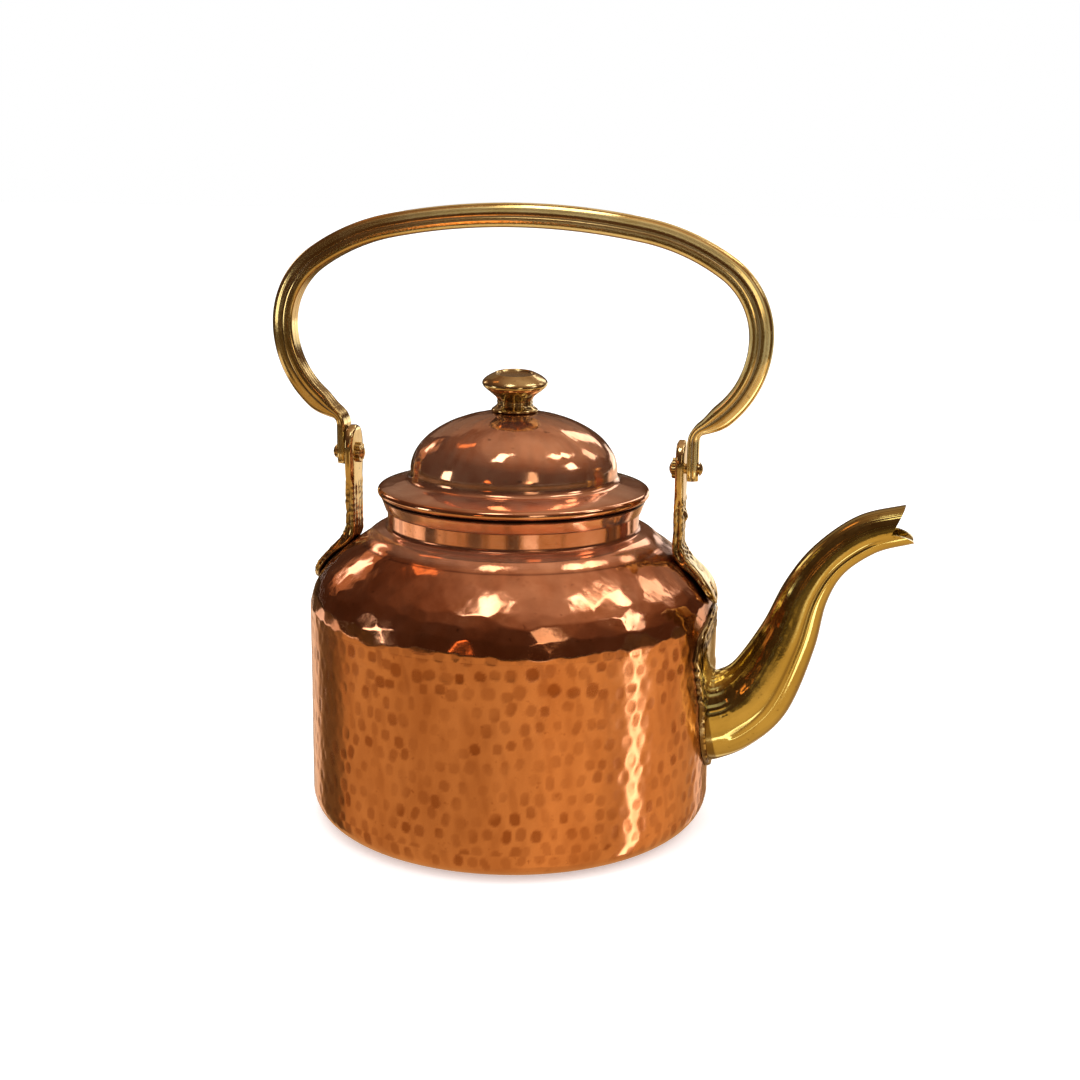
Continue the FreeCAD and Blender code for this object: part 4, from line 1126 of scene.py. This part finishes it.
def bail_path():
    """The bail's centre line from the crown's middle to the eye, in X and Z, and the run of each point."""
    corner_reach = BAIL_SIDE_RADIUS - BAIL_CORNER_RADIUS
    crown_reach = BAIL_CROWN_RADIUS - BAIL_SIDE_RADIUS
    side_x = BAIL_HALF_SPAN - BAIL_CORNER_RADIUS - corner_reach * heading(BAIL_CORNER_TURN)[0]
    crown_turn = math.degrees(math.asin(side_x / crown_reach))
    crown = np.array([0.0, BAIL_TOP - BAIL_CROWN_RADIUS])
    side = crown + crown_reach * heading(crown_turn)
    corner = side + corner_reach * heading(BAIL_CORNER_TURN)
    back = corner + np.array([BAIL_CORNER_RADIUS - BAIL_BACK_RADIUS, 0.0])
    runs = dict(
        crown=arc_rows(crown, BAIL_CROWN_RADIUS, 90, 90 - crown_turn, 70),
        side=arc_rows(side, BAIL_SIDE_RADIUS, 90 - crown_turn, 90 - BAIL_CORNER_TURN, 44),
        corner=arc_rows(corner, BAIL_CORNER_RADIUS, 90 - BAIL_CORNER_TURN, 0, 44),
        back=arc_rows(back, BAIL_BACK_RADIUS, 0, -BAIL_STRAP_TURN, 50),
    )
    end, inward = runs["back"][-1], -heading(BAIL_STRAP_TURN)
    fold = end + inward * ((LEG_MIDDLE_X - end[0]) / inward[0])
    start, finish = fold - inward * BAIL_BEND, fold - np.array([0, BAIL_BEND])
    share = np.linspace(0, 1, 16)[:, None]
    runs.update(
        strap=line_rows(end, start, 8),
        fold=(1 - share) ** 2 * start + 2 * share * (1 - share) * fold + share ** 2 * finish,
        leg=line_rows(finish, (LEG_MIDDLE_X, PIVOT_Z - LEG_HALF_WIDTH), 40),
    )
    return chain(**runs)


def resample(loop, count):
    """Points at even steps round a closed loop."""
    closed = np.concatenate([loop, loop[:1]])
    along = lengths(closed)
    steps = np.linspace(0, along[-1], count, endpoint=False)
    return np.stack([np.interp(steps, along, closed[:, axis]) for axis in (0, 1)], -1)


def bail_section(count):
    """The reeded section: heights outward and widths across, all round."""
    half, quarter = np.linspace(0, np.pi, count // 2), np.linspace(0, np.pi, count // 4)
    arch = np.stack([-0.6 + 4.82 * np.sin(half), -REED_HALF_WIDTH * np.cos(half)], -1)
    right = np.stack([-2.5 + 1.9 * np.cos(quarter), REED_HALF_WIDTH + 0.9 * np.sin(quarter)], -1)
    left = right[::-1] * np.array([1, -1])
    section = resample(np.concatenate([arch, right[1:], left[:-1]]), count)
    middle = section.mean(axis=0)
    turn = ring_angles(count)
    reeds = 0.5 + 0.25 * np.cos(22 * turn + np.sin(3 * turn)) + 0.25 * np.cos(13 * turn)
    return middle + (section - middle) * (1 - 0.01 * reeds)[:, None]


def bail_half(section):
    """Rows of points from the crown's middle to the eye, whose section flattens towards the leg."""
    path, runs = bail_path()
    slope = np.gradient(path, axis=0)
    slope /= np.hypot(*slope.T)[:, None]
    along = lengths(path)
    leg_start = along[rows_of(runs, "fold")[0]]
    flat = step(along, leg_start - 9.0, 12.0)[:, None]
    drop = np.clip((PIVOT_Z - path[:, 1]) / LEG_HALF_WIDTH, 0, 1)
    eye = np.maximum(np.sqrt(np.maximum(1 - drop ** 2, 0.0)), 0.05)[:, None]
    tall, wide = section.T
    leg_tall = (tall - (tall.max() + tall.min()) / 2) * 2 * LEG_HALF_DEPTH / np.ptp(tall)
    leg_wide = wide * LEG_HALF_WIDTH / wide.max()
    heights = tall * (1 - flat) + leg_tall * flat
    widths = wide * (1 - flat) + leg_wide * eye * flat
    return np.stack([path[:, :1] - slope[:, 1:] * heights, widths, path[:, 1:] + slope[:, :1] * heights], -1)


def make_bail():
    section = bail_section(BAIL_COLUMNS)
    half = bail_half(section)
    points = np.concatenate([half[:0:-1] * np.array([-1, 1, 1]), half])
    close_ends(points)
    x, z = points[..., 0], points[..., 2]
    tall, wide = section.T
    turn = ring_angles(BAIL_COLUMNS)
    # Painted shade in the groove between the reeds, painted dark reflection lines along them, and painted
    # shade on their inner side.
    dark_reeds = 0.6 * smooth(1.4 * np.cos(16 * turn + 2.0) + 0.8 * np.cos(7 * turn) - 0.8)
    creases = np.maximum.reduce([0.85 * bell(tall, -0.6, 0.5), dark_reeds, 0.05 * step(tall, -3.0, -1.2)])
    flank = step(np.abs(wide) / REED_HALF_WIDTH, 0.75, 0.3) * step(tall, -2.2, 1.5)
    # Painted shade on the flanks near the right leg, and the left half painted darker.
    shaded = 0.75 * flank * step(x, 55.0, 20.0) * step(z, 190.0, -30.0)
    patina_and_shade = np.maximum.reduce(np.broadcast_arrays(creases, shaded, 0.3 * step(x, -45.0, -30.0)))
    streak = smooth(0.5 + 0.6 * np.cos(9 * turn + 0.7) + 0.5 * np.cos(16 * turn))
    worn = streak * (0.1 + 0.9 * step(x, -60.0, 50.0))
    handle = add_grid("bail_handle", points, "bail", ["bail"], ("reeded",),
                      {"patina_and_shade": patina_and_shade, "worn": worn})
    handle.visible_glossy = False


KNOB_LEAN = math.tan(math.radians(5))
KNOB_FACING = np.array([math.sin(VIEW_TURN), -math.cos(VIEW_TURN)])
KNOB_COLUMNS = 128
KNOB_ROWS = 120
KNOB_FOOT_RADIUS = 8.2
KNOB_FLUTES = 11
RING_Z = DOME_TOP + 3.0
CAP_Z = DOME_TOP + 8.0
KNOB_TOP = CAP_Z + 5.7
KNOB_FOOT_Z = DOME_BASE + DOME_RISE * math.sqrt(1 - (KNOB_FOOT_RADIUS / DOME_RADIUS) ** 2)


def knob_profile():
    """Radii and heights up the knob's stem, over its cap and into its dished top."""
    foot, base, ring, cap, top = KNOB_FOOT_Z, DOME_TOP, RING_Z, CAP_Z, KNOB_TOP
    rows, _ = chain(
        foot=line_rows((0, foot + 0.3), (7.9, foot + 0.05), 5),
        base=np.array([[8.5, foot + 0.4], [8.4, base + 0.5], [7.7, base + 1.1], [6.9, base + 1.7]]),
        ring=np.array([[6.5, ring - 0.6], [6.7, ring], [6.5, ring + 0.7], [6.9, ring + 1.8]]),
        stem=np.array([[7.5, ring + 2.6], [8.9, ring + 3.8], [10.2, ring + 4.9]]),
        cap=np.array([[11.2, cap + 0.8], [11.75, cap + 1.5], [11.9, cap + 2.1], [11.75, cap + 2.7]]),
        crown=np.array([[11.2, cap + 3.4], [10.2, cap + 4.2], [9.0, cap + 4.9], [8.0, cap + 5.4]]),
        brim=np.array([[7.4, top], [7.0, top - 0.1], [6.6, top - 0.5], [6.2, top - 0.9]]),
        dish=np.array([[4.5, top - 1.2], [2.5, top - 1.4], [0, top - 1.5]]),
    )
    profile = through(rows, np.linspace(0, len(rows) - 1, KNOB_ROWS))
    profile[:, 0] = np.maximum(profile[:, 0], 0)
    profile[0, 0] = profile[-1, 0] = 0
    return profile


def make_knob():
    profile = knob_profile()
    radius, height = profile[:, :1], profile[:, 1:]
    points = revolve(profile, KNOB_COLUMNS)
    stem = step(height, DOME_TOP + 0.3, 1.0) * step(height, CAP_Z - 0.4, -1.5) * (radius > 5.5)
    flutes = stem * (0.5 + 0.5 * np.cos(KNOB_FLUTES * ring_angles(KNOB_COLUMNS)))
    points[..., :2] *= (1 - 0.06 * flutes)[..., None]
    lean = KNOB_LEAN * step(points[..., 2], KNOB_FOOT_Z + 0.5, 6.0)
    ahead = points[..., :2] @ KNOB_FACING
    points[..., :2] += (lean * (points[..., 2] - DOME_TOP))[..., None] * KNOB_FACING
    points[..., 2] -= lean * ahead
    # Painted shade in the flutes, on the cap's top and in the dish.
    dish = step(radius, 6.9, -0.5) * (height > CAP_Z + 3)
    patina_and_shade = np.clip(0.75 * flutes + 0.2 * step(height, CAP_Z + 1.5, 1.5) + 0.35 * dish, 0, 1)
    add_grid("lid_knob", points, "lid", ["knob"], ("cast",), {"patina_and_shade": patina_and_shade})


FITTINGS = {
    "tin": ("lid_skirt",),
    "steel": ("lid_rim_wire",),
    "plain_brass": (
        "knob_stud", "knob_washer", "knob_nut", "front_bracket_rivets", "rear_bracket_rivets",
        "front_pivot_rivet", "rear_pivot_rivet", "front_pivot_rosette", "rear_pivot_rosette",
    ),
}


def dress_fittings():
    """The small fittings keep their own solids and take worn metal."""
    for kind, names in FITTINGS.items():
        for name in names:
            mesh = NODES[name].data
            mesh.materials.clear()
            mesh.materials.append(MATERIALS[kind])


def make_camera():
    eye = Vector((VIEW_DISTANCE * math.sin(VIEW_TURN), -VIEW_DISTANCE * math.cos(VIEW_TURN), VIEW_HEIGHT))
    aim = Vector((AIM_SIDE * math.cos(VIEW_TURN), AIM_SIDE * math.sin(VIEW_TURN), AIM_HEIGHT))
    look = (aim - eye).normalized()
    right = look.cross(Vector((0, 0, 1))).normalized()
    up = right.cross(look)
    tilted_right = right * math.cos(VIEW_ROLL) + up * math.sin(VIEW_ROLL)
    tilted_up = up * math.cos(VIEW_ROLL) - right * math.sin(VIEW_ROLL)
    camera = bpy.data.objects.new("camera", bpy.data.cameras.new("camera"))
    camera.data.lens = LENS
    camera.data.sensor_width = SENSOR
    camera.data.clip_start = 0.01
    turned = Matrix((tilted_right, tilted_up, -look)).transposed().to_4x4()
    camera.matrix_world = Matrix.Translation(eye * MM) @ turned
    bpy.context.scene.collection.objects.link(camera)
    bpy.context.scene.camera = camera


FLOOR_HALF = 12000
FLOOR_DROP = 0.2


def make_floor():
    mesh = bpy.data.meshes.new("studio_floor")
    half = FLOOR_HALF * MM
    corners = [(-half, -half, 0), (half, -half, 0), (half, half, 0), (-half, half, 0)]
    mesh.from_pydata(corners, [], [(0, 1, 2, 3)])
    shader = Shader("studio_floor")
    tone = shader.ramp(shader.noise(3.0, 2.0), 0.3, 0.7)
    shader.link(shader.mix(tone, (0.9, 0.9, 0.9), (0.88, 0.88, 0.88)), shader.surface.inputs["Base Color"])
    shader.surface.inputs["Roughness"].default_value = 0.8
    shader.surface.inputs["Specular IOR Level"].default_value = 0.1
    shader.surface.inputs["Emission Color"].default_value = (1, 1, 1, 1)
    shader.surface.inputs["Emission Strength"].default_value = 0.4
    mesh.materials.append(shader.material)
    floor = bpy.data.objects.new("studio_floor", mesh)
    floor.location.z = -FLOOR_DROP * MM
    bpy.context.scene.collection.objects.link(floor)


# The room that the metal mirrors: height of the direction, tone
ROOM_TONES = (
    (0.0, (0.065, 0.029, 0.014)),
    (0.45, (0.09, 0.04, 0.02)),
    (0.72, (0.23, 0.112, 0.06)),
    (0.9, (0.46, 0.285, 0.19)),
    (1.0, (0.66, 0.46, 0.335)),
)
ROOM_SLANT = (0.22, 0.16, 0.95)


def make_world():
    """White light on everything, and a warm dim room in the metal's reflections."""
    world = bpy.data.worlds.new("studio")
    bpy.context.scene.world = world
    world.use_nodes = True
    tree = world.node_tree
    tree.nodes.clear()
    kinds = ("OutputWorld", "MixShader", "LightPath", "Background", "Background", "TexCoord", "VectorMath",
             "ValToRGB")
    nodes = [tree.nodes.new(f"ShaderNode{kind}") for kind in kinds]
    output, mix, path, room, white, place, slant, ramp = nodes
    white.inputs["Color"].default_value = (1, 1, 1, 1)
    slant.operation = "DOT_PRODUCT"
    slant.inputs[1].default_value = ROOM_SLANT
    ends = ramp.color_ramp.elements
    ends[0].color, ends[1].color = ROOM_TONES[0][1] + (1,), ROOM_TONES[-1][1] + (1,)
    for height, tone in ROOM_TONES[1:-1]:
        ends.new(height).color = tone + (1,)
    for source, target in (
        (place.outputs["Generated"], slant.inputs[0]),
        (slant.outputs["Value"], ramp.inputs["Fac"]),
        (ramp.outputs["Color"], room.inputs["Color"]),
        (path.outputs["Is Glossy Ray"], mix.inputs["Fac"]),
        (white.outputs["Background"], mix.inputs[1]),
        (room.outputs["Background"], mix.inputs[2]),
        (mix.outputs["Shader"], output.inputs["Surface"]),
    ):
        tree.links.new(source, target)


def add_card(name, points, faces, glow):
    """A flat card that only mirrors see, with a light of its own at each point."""
    mesh = bpy.data.meshes.new(name)
    mesh.from_pydata((np.array(points) * MM).tolist(), [], faces)
    layer = mesh.attributes.new("glow", "FLOAT_COLOR", "POINT")
    layer.data.foreach_set("color", np.append(glow, np.ones((len(glow), 1)), axis=1).ravel())
    shader = Shader(name)
    shader.surface.inputs["Base Color"].default_value = (0, 0, 0, 1)
    shader.surface.inputs["Specular IOR Level"].default_value = 0.0
    colour = shader.tree.nodes.new("ShaderNodeAttribute")
    colour.attribute_name = "glow"
    shader.link(colour.outputs["Color"], shader.surface.inputs["Emission Color"])
    shader.surface.inputs["Emission Strength"].default_value = 1.0
    mesh.materials.append(shader.material)
    card = bpy.data.objects.new(name, mesh)
    card.visible_camera = card.visible_diffuse = card.visible_shadow = False
    bpy.context.scene.collection.objects.link(card)


TABLE_TONE = (0.62, 0.37, 0.148)
TABLE_COLUMNS = 72
# Radius and brightness of the table's rings
TABLE_RINGS = ((60, 1.0), (300, 1.0), (420, 0.75), (600, 0.36), (1000, 0.14), (11000, 0.07))


def table_tone(share, white=0.0):
    """The table's tone, dimmed or raised by a share, with white light on it."""
    return tuple(share * tone + white for tone in TABLE_TONE)


def make_table_card():
    """The warm table top that the metal mirrors, dimmer further off and behind, lit at the far right."""
    points, glow, faces = [], [], []
    for line, (radius, share) in enumerate(TABLE_RINGS):
        for column, angle in enumerate(ring_angles(TABLE_COLUMNS)):
            points.append((radius * math.cos(angle), radius * math.sin(angle), 0.3))
            behind = float(step(math.sin(angle), 0.2, 0.5)) * min(1.0, radius / 300)
            far_right = 600 <= radius <= 1000 and 0.85 < angle < 1.5
            glow.append(table_tone(0.9, 0.5) if far_right else table_tone(share * (1 - 0.5 * behind)))
            if line:
                right = (column + 1) % TABLE_COLUMNS
                inner, outer = (line - 1) * TABLE_COLUMNS, line * TABLE_COLUMNS
                faces.append((inner + column, outer + column, outer + right, inner + right))
    add_card("table_card", points, faces, np.array(glow))


# What the wall mirrors: turn on it from the view, share of the table's tone, white light
WALL_STREAKS = (
    (-89.0, 0.2, 0), (-80.0, 0.25, 0), (-77.5, 1.0, 0.35), (-70.0, 1.0, 0.35), (-67.0, 0.5, 0),
    (-64.5, 0.25, 0), (-57.5, 0.24, 0), (-51.0, 0.95, 0), (-30.0, 0.9, 0), (0.0, 1.08, 0),
    (9.0, 1.3, 0), (26.0, 1.05, 0), (31.8, 1.1, 0), (32.9, 1.0, 2.6), (34.7, 1.0, 2.6),
    (36.2, 1.25, 0), (50.0, 1.1, 0), (58.0, 0.95, 0), (62.0, 1.0, 0), (63.5, 1.0, 0.5),
    (66.5, 1.0, 0.5), (69.0, 0.5, 0), (74.0, 0.5, 0), (77.0, 1.0, 0.1), (89.0, 1.0, 0.1),
)
# The same for the neck, which mirrors the table further off
NECK_STREAKS = (
    (-88.0, 0.3, 0), (-76.0, 0.15, 0), (-68.0, 0.15, 0), (-65.5, 1.0, 0.6), (-60.0, 1.0, 0.9),
    (-52.0, 1.0, 0.3), (-46.0, 1.0, 0.8), (-42.5, 1.0, 0.4), (-41.0, 0.12, 0), (-36.0, 0.12, 0),
    (-34.0, 0.95, 0.1), (-21.0, 0.8, 0), (-19.0, 0.15, 0), (-14.0, 0.2, 0), (-12.0, 0.85, 0),
    (-3.0, 0.7, 0), (-2.0, 0.15, 0), (2.0, 0.15, 0), (3.5, 0.9, 0), (5.0, 1.0, 0.7),
    (9.5, 1.0, 0.7), (11.0, 0.95, 0), (25.0, 1.0, 0.12), (35.0, 1.0, 0.2), (45.0, 0.9, 0),
    (48.0, 0.15, 0), (51.0, 0.15, 0), (52.5, 0.8, 0), (54.0, 0.15, 0), (57.0, 0.2, 0),
    (58.5, 1.0, 0.6), (63.0, 1.0, 0.6), (64.5, 0.2, 0), (67.0, 0.2, 0), (69.0, 1.0, 0.5),
    (80.0, 1.0, 0.5), (88.0, 0.5, 0),
)


def make_streak_card(name, radius, streaks, near, far, height):
    """Bright and dark streaks on the table, where a turned wall mirrors them at turns from the view."""
    view = VIEW_TURN - math.pi / 2
    points, glow, faces = [], [], []
    for line, (turn, share, white) in enumerate(streaks):
        turn = math.radians(turn)
        start = radius * np.array([math.cos(turn), math.sin(turn)])
        mirrored = 2 * turn + math.atan2(start[1], VIEW_DISTANCE - start[0])
        for length in (near, far):
            x, y = start + length * np.array([math.cos(mirrored), math.sin(mirrored)])
            points.append((
                x * math.cos(view) - y * math.sin(view), x * math.sin(view) + y * math.cos(view), height
            ))
            glow.append(table_tone(share, white))
        if line:
            faces.append((2 * line - 2, 2 * line - 1, 2 * line + 1, 2 * line))
    add_card(name, points, faces, np.array(glow))


# Soft boxes: name, place, width, height, glow, colour
WINDOWS = (
    ("window_top", (-112, -330, 1070), 220, 330, 3.8, (1, 0.97, 0.93)),
    ("window_right_low", (850, -15, 700), 190, 210, 3.8, (1, 0.97, 0.93)),
    ("window_right_high", (500, 30, 1010), 170, 190, 3.6, (1, 0.97, 0.93)),
    ("window_right_back", (575, 220, 935), 170, 190, 3.6, (1, 0.97, 0.93)),
    ("window_left", (-935, -430, 260), 210, 320, 3.4, (1, 0.95, 0.9)),
    ("window_front", (510, -800, 520), 200, 480, 1.3, (1, 0.84, 0.64)),
    ("lamp_front_left", (-270, -1000, 265), 100, 150, 2.4, (1, 0.34, 0.1)),
    ("lamp_high_left", (-520, 220, 912), 90, 170, 1.4, (1, 0.36, 0.12)),
    ("lamp_front_right", (494, -927, 290), 120, 120, 2.4, (1, 0.68, 0.42)),
    ("strip_back_left", (-750, 540, 500), 100, 190, 3.0, (1, 0.92, 0.84)),
    ("glow_back_left", (-900, 640, 560), 330, 420, 0.45, (1, 0.5, 0.24)),
    ("strip_back_right", (256, 848, 607), 200, 400, 2.0, (1, 0.92, 0.84)),
    ("backdrop", (0, 900, 700), 1500, 700, 0.15, (1, 0.8, 0.6)),
    ("strip_back_low", (300, 960, 150), 320, 200, 1.5, (1, 0.94, 0.85)),
    ("strip_right", (620, 563, 671), 180, 240, 1.7, (1, 0.92, 0.84)),
)
LIGHT_AIM = Vector((0, 0, 120))
OVERHEAD_ENERGY = 0.5
OVERHEAD_SPREAD = math.radians(100)
OVERHEAD_TILT = (math.radians(-12), math.radians(8), 0)


def add_window(name, place, width, height, glow, colour):
    """A soft box turned to the pot, as bright to look at as its glow."""
    data = bpy.data.lights.new(name, "AREA")
    data.shape = "RECTANGLE"
    data.size, data.size_y = width * MM, height * MM
    data.energy = glow * math.pi * width * height * MM * MM
    data.color = colour
    light = bpy.data.objects.new(name, data)
    light.location = Vector(place) * MM
    look = (LIGHT_AIM - Vector(place)).normalized()
    light.rotation_euler = look.to_track_quat("-Z", "Y").to_euler()
    light.visible_camera = False
    bpy.context.scene.collection.objects.link(light)


def make_lights():
    sun = bpy.data.lights.new("overhead", "SUN")
    sun.energy = OVERHEAD_ENERGY
    sun.angle = OVERHEAD_SPREAD
    lamp = bpy.data.objects.new("overhead", sun)
    lamp.rotation_euler = OVERHEAD_TILT
    lamp.visible_glossy = False
    bpy.context.scene.collection.objects.link(lamp)
    for window in WINDOWS:
        add_window(*window)


make_body()
make_shoulder()
make_neck_rim()
make_lid()
make_knob()
make_spout()
make_spout_plate()
make_bracket("ear_bracket_front", 1, "front_bracket")
make_bracket("ear_bracket_rear", -1, "rear_bracket")
make_bail()
dress_fittings()
make_floor()
make_world()
make_lights()
make_table_card()
make_streak_card("wall_streak_card", BODY_RADIUS, WALL_STREAKS, near=0.5, far=400.0, height=0.6)
make_streak_card("neck_streak_card", NECK_RADIUS, NECK_STREAKS, near=400.0, far=640.0, height=0.9)
make_camera()
bpy.context.scene.view_settings.view_transform = "Standard"
